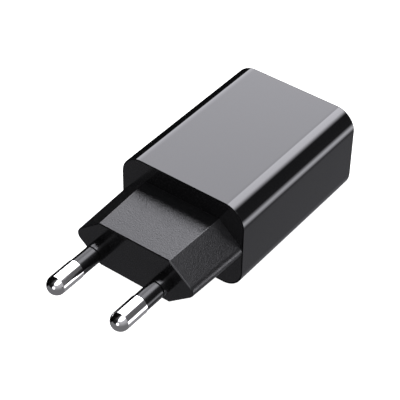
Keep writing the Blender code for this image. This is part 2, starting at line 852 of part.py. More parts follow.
# Board: its lead holes, the tab slots and the isolation slot are cut last
def makeBoard(legY):
    board = addMesh(
        "circuit_board",
        boxMesh(
            (-boardWidth / 2, boardFrontY, boardBottomZ),
            (boardWidth / 2, boardRearY, boardTopZ),
        ),
        "board",
    )
    holes = bmesh.new()
    for x, y in boardHoles:
        made = bmesh.ops.create_cone(
            holes,
            cap_ends=True,
            segments=12,
            radius1=holeRadius * mm,
            radius2=holeRadius * mm,
            depth=(boardThickness + 2) * mm,
        )["verts"]
        bmesh.ops.translate(holes, vec=(x * mm, y * mm, (boardTopZ - boardThickness / 2) * mm), verts=made)
    for side in (-1, 1):
        x = side * (portWidth / 2 + portSheet / 2)
        low = (x - portSheet / 2 - gap, legY - 0.8 - gap, boardBottomZ - 1)
        high = (x + portSheet / 2 + gap, legY + 0.8 + gap, boardTopZ + 1)
        addBox(holes, low, high)
    slotY = boardFrontY + 19.5
    for low, high in ((-10.3, -8.6), (8.6, 10.3)):
        addBox(holes, (low, slotY - 4.5, boardBottomZ - 1), (high, slotY + 4.5, boardTopZ + 1))
    combine(board, addMesh("cut_board_holes", holes, None), "DIFFERENCE")


makeHousing()
makeFrontCover()
makePins()
makeContactStrips()
makeCapacitors()
makeTransformer()
makeFuse()
makeDiscCapacitor()
makeChoke()
makeChips()
tabY = makePort()
makeBoard(tabY)
bpy.context.view_layer.update()
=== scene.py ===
import math

import bmesh
import bpy
from mathutils import Matrix, Quaternion, Vector


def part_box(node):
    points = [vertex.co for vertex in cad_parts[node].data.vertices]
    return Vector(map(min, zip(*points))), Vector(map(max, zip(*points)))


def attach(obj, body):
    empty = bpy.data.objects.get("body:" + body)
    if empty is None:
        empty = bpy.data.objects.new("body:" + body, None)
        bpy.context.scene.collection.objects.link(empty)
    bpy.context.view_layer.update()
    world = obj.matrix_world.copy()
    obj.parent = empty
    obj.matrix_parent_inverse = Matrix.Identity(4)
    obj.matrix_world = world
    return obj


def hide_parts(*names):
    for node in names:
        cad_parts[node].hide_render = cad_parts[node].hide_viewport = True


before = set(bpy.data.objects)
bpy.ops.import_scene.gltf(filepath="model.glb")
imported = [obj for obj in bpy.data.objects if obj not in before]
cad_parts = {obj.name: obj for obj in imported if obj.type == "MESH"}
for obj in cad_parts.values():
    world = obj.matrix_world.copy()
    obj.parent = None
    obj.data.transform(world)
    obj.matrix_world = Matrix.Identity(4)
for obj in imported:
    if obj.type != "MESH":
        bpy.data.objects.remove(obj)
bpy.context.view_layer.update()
mm = 0.001
faintBump = 0.02 * mm


def boxOf(node):
    low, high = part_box(node)
    return Vector(low), Vector(high)


housingLow, housingHigh = boxOf("housing_shell")
coverLow = boxOf("front_cover")[0]
pinLow, pinHigh = boxOf("pin_right")
sleeveLow = boxOf("pin_sleeve_right")[0]
portLow, portHigh = boxOf("usb_shell")

bodyFrontY = housingLow.y
bodyRearY = housingHigh.y
bodyWidth = housingHigh.x - housingLow.x
bodyHeight = housingHigh.z - housingLow.z
bodyMidZ = (housingLow.z + housingHigh.z) / 2
plugFaceY = coverLow.y
pinX = (pinLow.x + pinHigh.x) / 2
pinZ = (pinLow.z + pinHigh.z) / 2
print("frame loaded")


# Node helpers, shared by every material and the world
def nodeGraph(tree):
    nodes = tree.nodes
    links = tree.links

    def add(kind, **settings):
        node = nodes.new(kind)
        for key, value in settings.items():
            setattr(node, key, value)
        return node

    def join(fromSocket, toSocket):
        links.new(fromSocket, toSocket)

    return add, join


def mathNode(add, join, operation, first, second=None, third=None, clamp=False):
    node = add("ShaderNodeMath", operation=operation, use_clamp=clamp)
    for socket, value in zip(node.inputs, (first, second, third)):
        if value is None:
            continue
        if isinstance(value, (int, float)):
            socket.default_value = value
        else:
            join(value, socket)
    return node.outputs[0]


def newMaterial(name, look):
    material = bpy.data.materials.new(name)
    material.use_nodes = True
    tree = material.node_tree
    shader = tree.nodes["Principled BSDF"]
    shader.inputs["Base Color"].default_value = (*look["color"], 1.0)
    shader.inputs["Metallic"].default_value = look.get("metallic", 0.0)
    shader.inputs["Roughness"].default_value = look["roughness"]
    shader.inputs["IOR"].default_value = look.get("ior", 1.5)
    return material, tree, shader


def groupSockets(tree, inputs, outputs):
    for name, kind, value in inputs:
        socket = tree.interface.new_socket(name=name, in_out="INPUT", socket_type=kind)
        if value is not None:
            socket.default_value = value
    for name, kind in outputs:
        tree.interface.new_socket(name=name, in_out="OUTPUT", socket_type=kind)


# Fine grain of a spark-eroded mould: a height, and a mask of its small pits
grainShape = {
    "fineDetail": 2.0,
    "fineRoughness": 0.55,
    "cloudDetail": 3.0,
    "pitReach": 0.62,
    "pitShare": -0.6,
}


def buildGrainGroup():
    tree = bpy.data.node_groups.new("MouldGrain", "ShaderNodeTree")
    groupSockets(
        tree,
        [("Grain Size", "NodeSocketFloat", 0.35), ("Cluster Size", "NodeSocketFloat", 1.6)],
        [("Height", "NodeSocketFloat"), ("Pits", "NodeSocketFloat"), ("Cloud", "NodeSocketFloat")],
    )
    add, join = nodeGraph(tree)
    inside = add("NodeGroupInput")
    outside = add("NodeGroupOutput")
    coords = add("ShaderNodeTexCoord")
    fineScale = mathNode(add, join, "DIVIDE", 1000.0, inside.outputs["Grain Size"])
    fine = add("ShaderNodeTexNoise", noise_dimensions="3D")
    fine.inputs["Detail"].default_value = grainShape["fineDetail"]
    fine.inputs["Roughness"].default_value = grainShape["fineRoughness"]
    join(coords.outputs["Object"], fine.inputs["Vector"])
    join(fineScale, fine.inputs["Scale"])
    cloudScale = mathNode(add, join, "DIVIDE", 1000.0, inside.outputs["Cluster Size"])
    cloud = add("ShaderNodeTexNoise", noise_dimensions="3D")
    cloud.inputs["Detail"].default_value = grainShape["cloudDetail"]
    join(coords.outputs["Object"], cloud.inputs["Vector"])
    join(cloudScale, cloud.inputs["Scale"])
    cells = add("ShaderNodeTexVoronoi", voronoi_dimensions="3D", feature="F1")
    join(coords.outputs["Object"], cells.inputs["Vector"])
    join(fineScale, cells.inputs["Scale"])
    pits = mathNode(add, join, "SUBTRACT", grainShape["pitReach"], cells.outputs["Distance"], clamp=True)
    height = mathNode(add, join, "MULTIPLY_ADD", pits, grainShape["pitShare"], fine.outputs["Fac"])
    join(height, outside.inputs["Height"])
    join(pits, outside.inputs["Pits"])
    join(cloud.outputs["Fac"], outside.inputs["Cloud"])
    return tree


# Handling marks on a polished face: broad smears and a few fine hairlines
polishShape = {
    "smearDetail": 4.0,
    "smearRoughness": 0.6,
    "hairTurn": math.radians(24),
    "hairStretch": 0.06,
    "hairDetail": 1.0,
    "hairCut": 0.68,
    "hairGain": 6.0,
}


def buildPolishGroup():
    tree = bpy.data.node_groups.new("PolishWear", "ShaderNodeTree")
    groupSockets(
        tree,
        [("Smear Size", "NodeSocketFloat", 9.0), ("Hairline Size", "NodeSocketFloat", 1.2)],
        [("Smears", "NodeSocketFloat"), ("Hairlines", "NodeSocketFloat")],
    )
    add, join = nodeGraph(tree)
    inside = add("NodeGroupInput")
    outside = add("NodeGroupOutput")
    coords = add("ShaderNodeTexCoord")
    smearScale = mathNode(add, join, "DIVIDE", 1000.0, inside.outputs["Smear Size"])
    smear = add("ShaderNodeTexNoise", noise_dimensions="3D")
    smear.inputs["Detail"].default_value = polishShape["smearDetail"]
    smear.inputs["Roughness"].default_value = polishShape["smearRoughness"]
    join(coords.outputs["Object"], smear.inputs["Vector"])
    join(smearScale, smear.inputs["Scale"])
    mapping = add("ShaderNodeMapping")
    mapping.inputs["Rotation"].default_value = (0.0, 0.0, polishShape["hairTurn"])
    mapping.inputs["Scale"].default_value = (1.0, polishShape["hairStretch"], 1.0)
    join(coords.outputs["Object"], mapping.inputs["Vector"])
    hairScale = mathNode(add, join, "DIVIDE", 1000.0, inside.outputs["Hairline Size"])
    hair = add("ShaderNodeTexNoise", noise_dimensions="3D")
    hair.inputs["Detail"].default_value = polishShape["hairDetail"]
    join(mapping.outputs["Vector"], hair.inputs["Vector"])
    join(hairScale, hair.inputs["Scale"])
    line = mathNode(add, join, "SUBTRACT", hair.outputs["Fac"], polishShape["hairCut"], clamp=True)
    line = mathNode(add, join, "MULTIPLY", line, polishShape["hairGain"], clamp=True)
    join(smear.outputs["Fac"], outside.inputs["Smears"])
    join(line, outside.inputs["Hairlines"])
    return tree


grainGroup = buildGrainGroup()
polishGroup = buildPolishGroup()


def opaque(color, share=1.0):
    return (*[min(1.0, value * share) for value in color], 1.0)


def tintBetween(add, join, shader, mask, low, high):
    tint = add("ShaderNodeMix", data_type="RGBA")
    tint.inputs[6].default_value = low
    tint.inputs[7].default_value = high
    join(mask, tint.inputs[0])
    join(tint.outputs[2], shader.inputs["Base Color"])


def bumpFrom(add, join, shader, height, strength, distance):
    bump = add("ShaderNodeBump")
    bump.inputs["Strength"].default_value = strength
    bump.inputs["Distance"].default_value = distance
    join(height, bump.inputs["Height"])
    join(bump.outputs["Normal"], shader.inputs["Normal"])


def addGroup(tree, group, values):
    node = tree.nodes.new("ShaderNodeGroup")
    node.node_tree = group
    for key, value in values.items():
        node.inputs[key].default_value = value
    return node


def polishedMaterial(name, look):  # smooth plastic or metal with faint smears in its gloss
    material, tree, shader = newMaterial(name, look)
    add, join = nodeGraph(tree)
    wear = addGroup(tree, polishGroup, {"Smear Size": look["smear"], "Hairline Size": look["hairline"]})
    spread = mathNode(add, join, "SUBTRACT", wear.outputs["Smears"], 0.5)
    rough = mathNode(add, join, "MULTIPLY_ADD", spread, look["smearDepth"], look["roughness"])
    hairlines = wear.outputs["Hairlines"]
    rough = mathNode(add, join, "MULTIPLY_ADD", hairlines, look["hairDepth"], rough, clamp=True)
    join(rough, shader.inputs["Roughness"])
    lifted = opaque(look["color"], look["tintLift"])
    tintBetween(add, join, shader, wear.outputs["Smears"], opaque(look["color"]), lifted)
    bumpFrom(add, join, shader, wear.outputs["Smears"], look["bump"], faintBump)
    return material


def grainedMaterial(name, look):  # moulded plastic with an eroded texture
    material, tree, shader = newMaterial(name, look)
    add, join = nodeGraph(tree)
    grain = addGroup(tree, grainGroup, {"Grain Size": look["grain"], "Cluster Size": look["cluster"]})
    pits = grain.outputs["Pits"]
    tintBetween(add, join, shader, pits, opaque(look["color"]), opaque(look["color"], look["tintLift"]))
    spread = mathNode(add, join, "SUBTRACT", grain.outputs["Cloud"], 0.5)
    rough = mathNode(add, join, "MULTIPLY_ADD", spread, look["cloudDepth"], look["roughness"])
    rough = mathNode(add, join, "MULTIPLY_ADD", pits, look["pitDepth"], rough, clamp=True)
    join(rough, shader.inputs["Roughness"])
    bumpFrom(add, join, shader, grain.outputs["Height"], look["bump"], look["bumpHeight"] * mm)
    return material


# What smooth finishes share, then metals, painted marks and grained mouldings
smooth = dict(smearDepth=0.1, hairDepth=0.05, tintLift=1.3, bump=0.1)
metal = dict(smooth, metallic=1.0, hairDepth=0.1, tintLift=1.1)
paint = dict(smooth, roughness=0.35, smear=1.5, hairline=0.4)
grained = dict(cloudDepth=0.15, pitDepth=0.1, bumpHeight=0.01)
finishes = {
    "glossBlack": dict(
        smooth, color=(0.0022, 0.0022, 0.0025), roughness=0.05, smear=11.0, hairline=1.4,
        smearDepth=0.03, tintLift=1.6, bump=0.02,
    ),
    "satinBlack": dict(
        smooth, color=(0.003, 0.003, 0.0033), roughness=0.13, smear=6.0, hairline=1.0,
        smearDepth=0.05, hairDepth=0.04, tintLift=1.5, bump=0.05,
    ),
    "sleeveBlack": dict(
        smooth, color=(0.0025, 0.0025, 0.0027), roughness=0.17, ior=1.38, smear=3.0, hairline=0.6,
        smearDepth=0.05, tintLift=1.6, bump=0.05,
    ),
    "nickel": dict(
        metal, color=(0.74, 0.735, 0.72), roughness=0.09, smear=2.5, hairline=0.35, smearDepth=0.05,
        hairDepth=0.06, tintLift=1.06, bump=0.03,
    ),
    "stampedSteel": dict(
        metal, color=(0.62, 0.62, 0.63), roughness=0.2, smear=3.0, hairline=0.3, hairDepth=0.15,
    ),
    "goldPlate": dict(
        metal, color=(0.86, 0.6, 0.2), roughness=0.14, smear=1.2, hairline=0.2, bump=0.05,
    ),
    "springBrass": dict(
        metal, color=(0.76, 0.55, 0.24), roughness=0.28, smear=2.0, hairline=0.25, smearDepth=0.15,
        hairDepth=0.15, tintLift=1.2,
    ),
    "canAluminium": dict(
        metal, color=(0.78, 0.78, 0.79), roughness=0.26, smear=2.0, hairline=0.25, hairDepth=0.12,
    ),
    "tinnedWire": dict(
        metal, color=(0.66, 0.66, 0.66), roughness=0.3, smear=0.8, hairline=0.2, smearDepth=0.15,
        tintLift=1.15,
    ),
    "greenFilm": dict(
        smooth, color=(0.015, 0.06, 0.05), roughness=0.2, smear=4.0, hairline=0.5, smearDepth=0.08,
        tintLift=1.5,
    ),
    "yellowTape": dict(
        smooth, color=(0.75, 0.5, 0.04), roughness=0.25, smear=2.5, hairline=0.5, smearDepth=0.12,
        hairDepth=0.1, tintLift=1.15, bump=0.15,
    ),
    "paleStripe": dict(
        smooth, color=(0.55, 0.6, 0.56), roughness=0.22, smear=4.0, hairline=0.5, smearDepth=0.08,
        tintLift=1.2,
    ),
    "bandBrown": dict(paint, color=(0.14, 0.05, 0.02)),
    "bandBlack": dict(paint, color=(0.012, 0.012, 0.012), tintLift=1.6),
    "bandRed": dict(paint, color=(0.5, 0.02, 0.015)),
    "bandGold": dict(paint, color=(0.45, 0.3, 0.08), metallic=0.6),
    "solderTin": dict(
        metal, color=(0.7, 0.7, 0.71), roughness=0.24, smear=0.7, hairline=0.2, smearDepth=0.2,
        tintLift=1.15, bump=0.4,
    ),
    "printWhite": dict(paint, color=(0.75, 0.76, 0.72), roughness=0.5, tintLift=1.1),
    "blueEpoxy": dict(
        smooth, color=(0.02, 0.12, 0.4), roughness=0.28, smear=2.5, hairline=0.5, smearDepth=0.15,
        tintLift=1.4, bump=0.3,
    ),
}
grainedFinishes = {
    "erodedBlack": dict(
        grained, color=(0.0035, 0.0035, 0.004), roughness=0.29, grain=0.36, cluster=1.8,
        tintLift=1.5, cloudDepth=0.08, pitDepth=0.12, bump=1.0, bumpHeight=0.038,
    ),
    "whiteNylon": dict(
        grained, color=(0.72, 0.72, 0.69), roughness=0.42, grain=0.2, cluster=1.5, tintLift=0.9,
        bump=0.15,
    ),
    "blackRubber": dict(
        grained, color=(0.014, 0.014, 0.015), roughness=0.7, grain=0.25, cluster=1.2, tintLift=1.8,
        bump=0.4,
    ),
    "ferrite": dict(
        grained, color=(0.035, 0.035, 0.04), roughness=0.55, grain=0.18, cluster=1.0, tintLift=1.8,
        cloudDepth=0.2, pitDepth=0.15, bump=0.5, bumpHeight=0.015,
    ),
    "mouldedResin": dict(
        grained, color=(0.018, 0.018, 0.019), roughness=0.5, grain=0.15, cluster=1.0, tintLift=1.7,
        bump=0.35,
    ),
    "greyLacquer": dict(
        grained, color=(0.22, 0.28, 0.26), roughness=0.4, grain=0.3, cluster=1.2, tintLift=1.3,
        bump=0.25, bumpHeight=0.02,
    ),
    "chipCeramic": dict(
        grained, color=(0.36, 0.25, 0.14), roughness=0.45, grain=0.12, cluster=0.6, tintLift=1.25,
        bump=0.3,
    ),
}
materials = {name: polishedMaterial(name, look) for name, look in finishes.items()}
materials.update({name: grainedMaterial(name, look) for name, look in grainedFinishes.items()})


# The wave texture's scale for bands of this width in mm, with gaps as wide between them
def waveScale(width):
    return math.pi / (20.0 * width * mm)


# Enamelled wire laid in turns: ridges across the winding's axis, with painted shade darkening the wire's
# colour in the valleys between turns
def woundMaterial(name, look):
    material, tree, shader = newMaterial(name, look)
    add, join = nodeGraph(tree)
    coords = add("ShaderNodeTexCoord")
    mapping = add("ShaderNodeMapping")
    mapping.inputs["Rotation"].default_value = look["turn"]
    join(coords.outputs["Object"], mapping.inputs["Vector"])
    wave = add("ShaderNodeTexWave", wave_type="BANDS", bands_direction="X", wave_profile="SIN")
    wave.inputs["Scale"].default_value = waveScale(look["bandWidth"])
    wave.inputs["Distortion"].default_value = 0.4
    wave.inputs["Detail"].default_value = 1.0
    join(mapping.outputs["Vector"], wave.inputs["Vector"])
    crests = wave.outputs["Fac"]
    # painted shade: the wire's colour is darkened in the valleys between the turns, where shade falls
    paintedValleyShade = opaque(look["color"], look["valleyShare"])
    tintBetween(add, join, shader, crests, paintedValleyShade, opaque(look["color"]))
    bumpFrom(add, join, shader, crests, look["bump"], look["bandWidth"] * look["bumpShare"] * mm)
    rough = mathNode(add, join, "MULTIPLY_ADD", crests, -0.12, look["roughness"] + 0.1)
    join(rough, shader.inputs["Roughness"])
    return material


# The valley share is how much of the wire's colour is kept in the valleys between turns, as painted shade
copperLook = dict(
    color=(0.62, 0.2, 0.06), metallic=0.9, roughness=0.3, bandWidth=0.22, turn=(0, 0, 0),
    valleyShare=0.35, bump=0.8, bumpShare=0.4,
)
chokeLook = dict(copperLook, bandWidth=0.3, turn=(0, math.radians(90), 0))
materials["windingCopper"] = woundMaterial("windingCopper", copperLook)
materials["chokeCopper"] = woundMaterial("chokeCopper", chokeLook)


# Glass-epoxy board: solder mask with a faint weave
def boardMaterial(name, look):
    material, tree, shader = newMaterial(name, look)
    add, join = nodeGraph(tree)
    coords = add("ShaderNodeTexCoord")
    across = add("ShaderNodeTexWave", wave_type="BANDS", bands_direction="X")
    along = add("ShaderNodeTexWave", wave_type="BANDS", bands_direction="Y")
    for wave in (across, along):
        wave.inputs["Scale"].default_value = waveScale(look["weave"])
        wave.inputs["Distortion"].default_value = 0.6
        join(coords.outputs["Object"], wave.inputs["Vector"])
    weave = mathNode(add, join, "MULTIPLY", across.outputs["Fac"], along.outputs["Fac"])
    cloud = add("ShaderNodeTexNoise")
    cloud.inputs["Scale"].default_value = 350.0
    cloud.inputs["Detail"].default_value = 3.0
    join(coords.outputs["Object"], cloud.inputs["Vector"])
    blend = mathNode(add, join, "MULTIPLY", cloud.outputs["Fac"], look["cloudShare"])
    blend = mathNode(add, join, "MULTIPLY_ADD", weave, 1 - look["cloudShare"], blend, clamp=True)
    dark = opaque(look["color"], look["darkShare"])
    tintBetween(add, join, shader, blend, dark, opaque(look["color"], look["paleShare"]))
    rough = mathNode(add, join, "MULTIPLY_ADD", cloud.outputs["Fac"], look["cloudDepth"], look["roughness"])
    join(rough, shader.inputs["Roughness"])
    bumpFrom(add, join, shader, weave, look["bump"], faintBump)
    return material


boardLook = dict(
    color=(0.012, 0.11, 0.045), roughness=0.3, weave=0.5, cloudShare=0.6, cloudDepth=0.15,
    darkShare=0.7, paleShare=1.3, bump=0.15,
)
materials["solderMask"] = boardMaterial("solderMask", boardLook)
print("materials built")


# Mesh helpers, shared by every piece
def bevel(bm, geometry, width, segments, affect="EDGES"):
    return bmesh.ops.bevel(
        bm, geom=geometry, offset=width, offset_type="OFFSET", segments=segments,
        profile=0.5, affect=affect, clamp_overlap=True, material=-1,
    )


# One rounded rectangle at y, as a single face that looks along -Y
def roundedFace(bm, width, height, radius, steps, y, z):
    made = bmesh.ops.create_grid(bm, x_segments=1, y_segments=1, size=0.5)["verts"]
    for vert in made:
        vert.co = Vector((vert.co.x * width, y, z + vert.co.y * height))
    face = made[0].link_faces[0]
    if radius > 0:
        bevel(bm, list(made), radius, steps, "VERTICES")
    face = [f for f in bm.faces if all(abs(v.co.y - y) < 1e-9 for v in f.verts)][-1]
    face.normal_update()
    if face.normal.y > 0:
        face.normal_flip()
    return face


def only(items, kind):
    return [item for item in items if isinstance(item, kind)]


def extrudeFace(bm, face, offset):
    attached = any(len(edge.link_faces) > 1 for edge in face.edges)
    made = bmesh.ops.extrude_face_region(bm, geom=[face])["geom"]
    if attached:
        bmesh.ops.delete(bm, geom=[face], context="FACES_ONLY")
    bmesh.ops.translate(bm, vec=offset, verts=only(made, bmesh.types.BMVert))
    return only(made, bmesh.types.BMFace)[0]


def insetFace(bm, face, amount):
    return bmesh.ops.inset_region(bm, faces=[face], thickness=amount, use_even_offset=True)["faces"]


# The many-sided faces whose middle is at y
def facesAt(bm, y):
    return [f for f in bm.faces if len(f.verts) > 6 and abs(f.calc_center_median().y - y) < 1e-6]


def rimEdges(bm, y, tolerance=1e-7):
    return [e for e in bm.edges if all(abs(v.co.y - y) < tolerance for v in e.verts)]


def alongEdges(bm):
    return [e for e in bm.edges if abs(e.verts[0].co.y - e.verts[1].co.y) > 5 * mm]


def openFace(bm, face):
    edges = list(face.edges)
    bmesh.ops.delete(bm, geom=[face], context="FACES_ONLY")
    return edges


def turnProfile(bm, profile, centre, steps, closedLoop=False):
    verts = [bm.verts.new((centre.x + radius, centre.y - along, centre.z)) for radius, along in profile]
    edges = [bm.edges.new(pair) for pair in zip(verts, verts[1:])]
    if closedLoop:
        edges.append(bm.edges.new((verts[-1], verts[0])))
    bmesh.ops.spin(
        bm, geom=verts + edges, cent=centre, axis=(0, 1, 0), angle=math.radians(360),
        steps=steps, use_merge=True, use_normal_flip=False, use_duplicate=False,
    )
    bmesh.ops.remove_doubles(bm, verts=bm.verts, dist=1e-7)


doneNodes = []


def finishPiece(name, bm, finish, nodes, sharp=32, weighted=True):
    bmesh.ops.remove_doubles(bm, verts=bm.verts, dist=1e-7)
    bmesh.ops.delete(bm, geom=[e for e in bm.edges if not e.link_faces], context="EDGES")
    bmesh.ops.recalc_face_normals(bm, faces=bm.faces)
    mesh = bpy.data.meshes.new(name)
    bm.to_mesh(mesh)
    bm.free()
    obj = bpy.data.objects.new(name, mesh)
    bpy.context.scene.collection.objects.link(obj)
    for one in finish if isinstance(finish, (list, tuple)) else [finish]:
        mesh.materials.append(materials[one])
    mesh.shade_smooth()
    mesh.set_sharp_from_angle(angle=math.radians(sharp))
    if weighted:
        normals = obj.modifiers.new("normals", "WEIGHTED_NORMAL")
        normals.mode = "FACE_AREA"
        normals.weight = 90
        normals.keep_sharp = True
    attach(obj, "root")
    if nodes:
        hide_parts(*nodes)
        doneNodes.append(nodes)
    return obj


# Housing: the rounded box, open at the front and cut for the socket at the far end
housing = {
    "cornerRadius": 5.8 * mm,
    "cornerSteps": 28,
    "frontRim": 0.12 * mm,
    "frontEdge": 0.05 * mm,
    "farEdge": 0.55 * mm,
    "rebateDepth": 2.0 * mm,
    "wall": 1.8 * mm,
    "endWall": 2.0 * mm,
    "mouthGap": 0.22 * mm,
    "socketHeight": 5.72 * mm,
    "mouthRadius": 0.7 * mm,
    "mouthEdge": 0.25 * mm,
}


def makeHousing():
    s = housing
    bm = bmesh.new()
    front = roundedFace(
        bm, bodyWidth, bodyHeight, s["cornerRadius"], s["cornerSteps"], bodyFrontY, bodyMidZ,
    )
    extrudeFace(bm, front, Vector((0, bodyRearY - bodyFrontY, 0)))
    bevel(bm, rimEdges(bm, bodyFrontY), s["frontEdge"], 2)
    bevel(bm, rimEdges(bm, bodyRearY), s["farEdge"], 5)
    front = facesAt(bm, bodyFrontY)[0]
    insetFace(bm, front, s["frontRim"] - s["frontEdge"])
    front = extrudeFace(bm, front, Vector((0, s["rebateDepth"], 0)))
    insetFace(bm, front, s["wall"] - s["frontRim"])
    cavityDepth = bodyRearY - s["endWall"] - bodyFrontY - s["rebateDepth"]
    inner = extrudeFace(bm, front, Vector((0, cavityDepth, 0)))
    innerEdges = openFace(bm, inner)
    outerEdges = openFace(bm, facesAt(bm, bodyRearY)[0])
    mouthWidth = portHigh.x - portLow.x + 2 * s["mouthGap"]
    mouthHeight = s["socketHeight"] + 2 * s["mouthGap"]
    mouth = roundedFace(bm, mouthWidth, mouthHeight, s["mouthRadius"], 8, bodyRearY, bodyMidZ)
    mouthEdges = openFace(bm, mouth)
    bmesh.ops.bridge_loops(bm, edges=outerEdges + mouthEdges)
    made = bmesh.ops.extrude_edge_only(bm, edges=mouthEdges)["geom"]
    deepVerts = only(made, bmesh.types.BMVert)
    deepEdges = [e for e in only(made, bmesh.types.BMEdge) if all(v in deepVerts for v in e.verts)]
    bmesh.ops.translate(bm, vec=Vector((0, -s["endWall"], 0)), verts=deepVerts)
    bmesh.ops.bridge_loops(bm, edges=innerEdges + deepEdges)
    bevel(bm, mouthEdges, s["mouthEdge"], 3)
    finishPiece("housingShell", bm, "glossBlack", ["housing_shell"])


makeHousing()
print("housing made")


# Pin sizes, which the cover's bosses share
pin = {
    "radius": 2.5 * mm,
    "shankRadius": 1.95 * mm,
    "edge": 0.12 * mm,
    "noseSteps": 16,
    "turnSteps": 72,
    "sleeveRadius": 2.36 * mm,
    "grooveDistance": 3.5 * mm,
    "grooveWidth": 0.4 * mm,
    "grooveDepth": 0.26 * mm,
    "rootSwell": 0.07 * mm,
    "tailRadius": 1.5 * mm,
    "flangeRadius": 2.3 * mm,
    "flangeStart": 4.4 * mm,
    "flangeEnd": 6.0 * mm,
    "bareGap": 0.3 * mm,
    "shankDepth": 1.5 * mm,
    "taperLength": 0.3 * mm,
    "sleeveDepth": 1.6 * mm,
    "sleeveGap": 0.02 * mm,
    "sleeveEdge": 0.08 * mm,
}


# Front cover: the plate in the housing's mouth, and the six-sided plug block on it
cover = {
    "seam": 0.22 * mm,
    "plateThickness": 1.7 * mm,
    "plateEdge": 0.08 * mm,
    "flatFront": 10.45 * mm,
    "halfFront": 18.6 * mm,
    "thickFront": 6.6 * mm,
    "flatRear": 11.1 * mm,
    "halfRear": 19.3 * mm,
    "thickRear": 7.0 * mm,
    "vertexRadius": 2.7 * mm,
    "ridgeRadius": 0.12 * mm,
    "rimRadius": 0.3 * mm,
    "blockSink": 0.6 * mm,
    "blockRise": 0.25 * mm,
    "wall": 2.0 * mm,
    "frontWall": 2.4 * mm,
    "holeStep": 0.1 * mm,
    "lipGap": 0.3 * mm,
    "lipLength": 4.0 * mm,
    "lipThickness": 1.2 * mm,
    "bossRadius": 3.3 * mm,
    "bossLength": 8.0 * mm,
    "bossGap": 0.05 * mm,
    "bossSteps": 48,
}
blockZ = pinZ + cover["blockRise"]


# Half width, half flat and half height of the block, at a share of its length behind the pin face
def plugSection(share, inset):
    s = cover
    half = s["halfFront"] + (s["halfRear"] - s["halfFront"]) * share
    flat = s["flatFront"] + (s["flatRear"] - s["flatFront"]) * share
    thick = s["thickFront"] + (s["thickRear"] - s["thickFront"]) * share
    slope = math.atan2(thick, half - flat)
    return half - inset / math.sin(slope), flat - inset * math.tan(slope / 2), thick - inset


def shapeSection(verts, section):
    half, flat, thick = section
    middleX = sorted(abs(v.co.x) for v in verts)[3]
    for vert in verts:
        tip = abs(vert.co.x) > middleX * 1.05
        x = math.copysign(half if tip else flat, vert.co.x)
        z = 0.0 if tip else math.copysign(thick, vert.co.z - blockZ)
        vert.co = Vector((x, vert.co.y, blockZ + z))


def sectionFace(bm, y, section):  # one six-sided face, looking along -Y
    ring = bmesh.ops.create_circle(bm, cap_ends=True, segments=6, radius=1.0)["verts"]
    for vert in ring:
        vert.co = Vector((vert.co.y, y, blockZ + vert.co.x))
    shapeSection(ring, section)
    face = ring[0].link_faces[0]
    face.normal_update()
    if face.normal.y > 0:
        face.normal_flip()
    return face


def fillBetween(bm, edges):
    bmesh.ops.triangle_fill(bm, use_beauty=True, use_dissolve=False, edges=edges, normal=(0, 1, 0))


def makePlugBlock(bm):
    s = cover
    length = bodyFrontY - plugFaceY
    depth = length + s["blockSink"]
    face = sectionFace(bm, plugFaceY, plugSection(0, 0))
    rear = extrudeFace(bm, face, Vector((0, depth, 0)))
    shapeSection(rear.verts, plugSection(depth / length, 0))
    tips = [e for e in alongEdges(bm) if all(abs(v.co.z - blockZ) < 1e-7 for v in e.verts)]
    bevel(bm, tips, s["vertexRadius"], 10)
    ridges = [e for e in alongEdges(bm) if all(abs(v.co.z - blockZ) > 5 * mm for v in e.verts)]
    bevel(bm, ridges, s["ridgeRadius"], 3)
    bevel(bm, rimEdges(bm, plugFaceY), s["rimRadius"], 4)
    rearY = plugFaceY + depth
    rearEdges = openFace(bm, facesAt(bm, rearY)[0])
    mouth = sectionFace(bm, rearY, plugSection(depth / length, s["wall"]))
    deep = extrudeFace(bm, mouth, Vector((0, s["frontWall"] - depth, 0)))
    shapeSection(deep.verts, plugSection(s["frontWall"] / length, s["wall"]))
    fillBetween(bm, rearEdges + openFace(bm, mouth))


def makePlate(bm):
    s = cover
    inset = housing["frontRim"] + s["seam"]
    front = roundedFace(
        bm, bodyWidth - 2 * inset, bodyHeight - 2 * inset, housing["cornerRadius"] - inset,
        housing["cornerSteps"], bodyFrontY, bodyMidZ,
    )
    rear = extrudeFace(bm, front, Vector((0, s["plateThickness"], 0)))
    insetFace(bm, rear, housing["wall"] + s["lipGap"] - inset)
    rear = extrudeFace(bm, rear, Vector((0, s["lipLength"], 0)))
    insetFace(bm, rear, s["lipThickness"])
    rear = extrudeFace(bm, rear, Vector((0, -s["lipLength"], 0)))
    rearEdges = openFace(bm, rear)
    bevel(bm, list(front.edges), s["plateEdge"], 2)
    frontEdges = openFace(bm, facesAt(bm, bodyFrontY)[0])
    hole = sectionFace(bm, bodyFrontY, plugSection(1, s["wall"] - s["holeStep"]))
    far = extrudeFace(bm, hole, Vector((0, s["plateThickness"], 0)))
    fillBetween(bm, frontEdges + openFace(bm, hole))
    fillBetween(bm, rearEdges + openFace(bm, far))


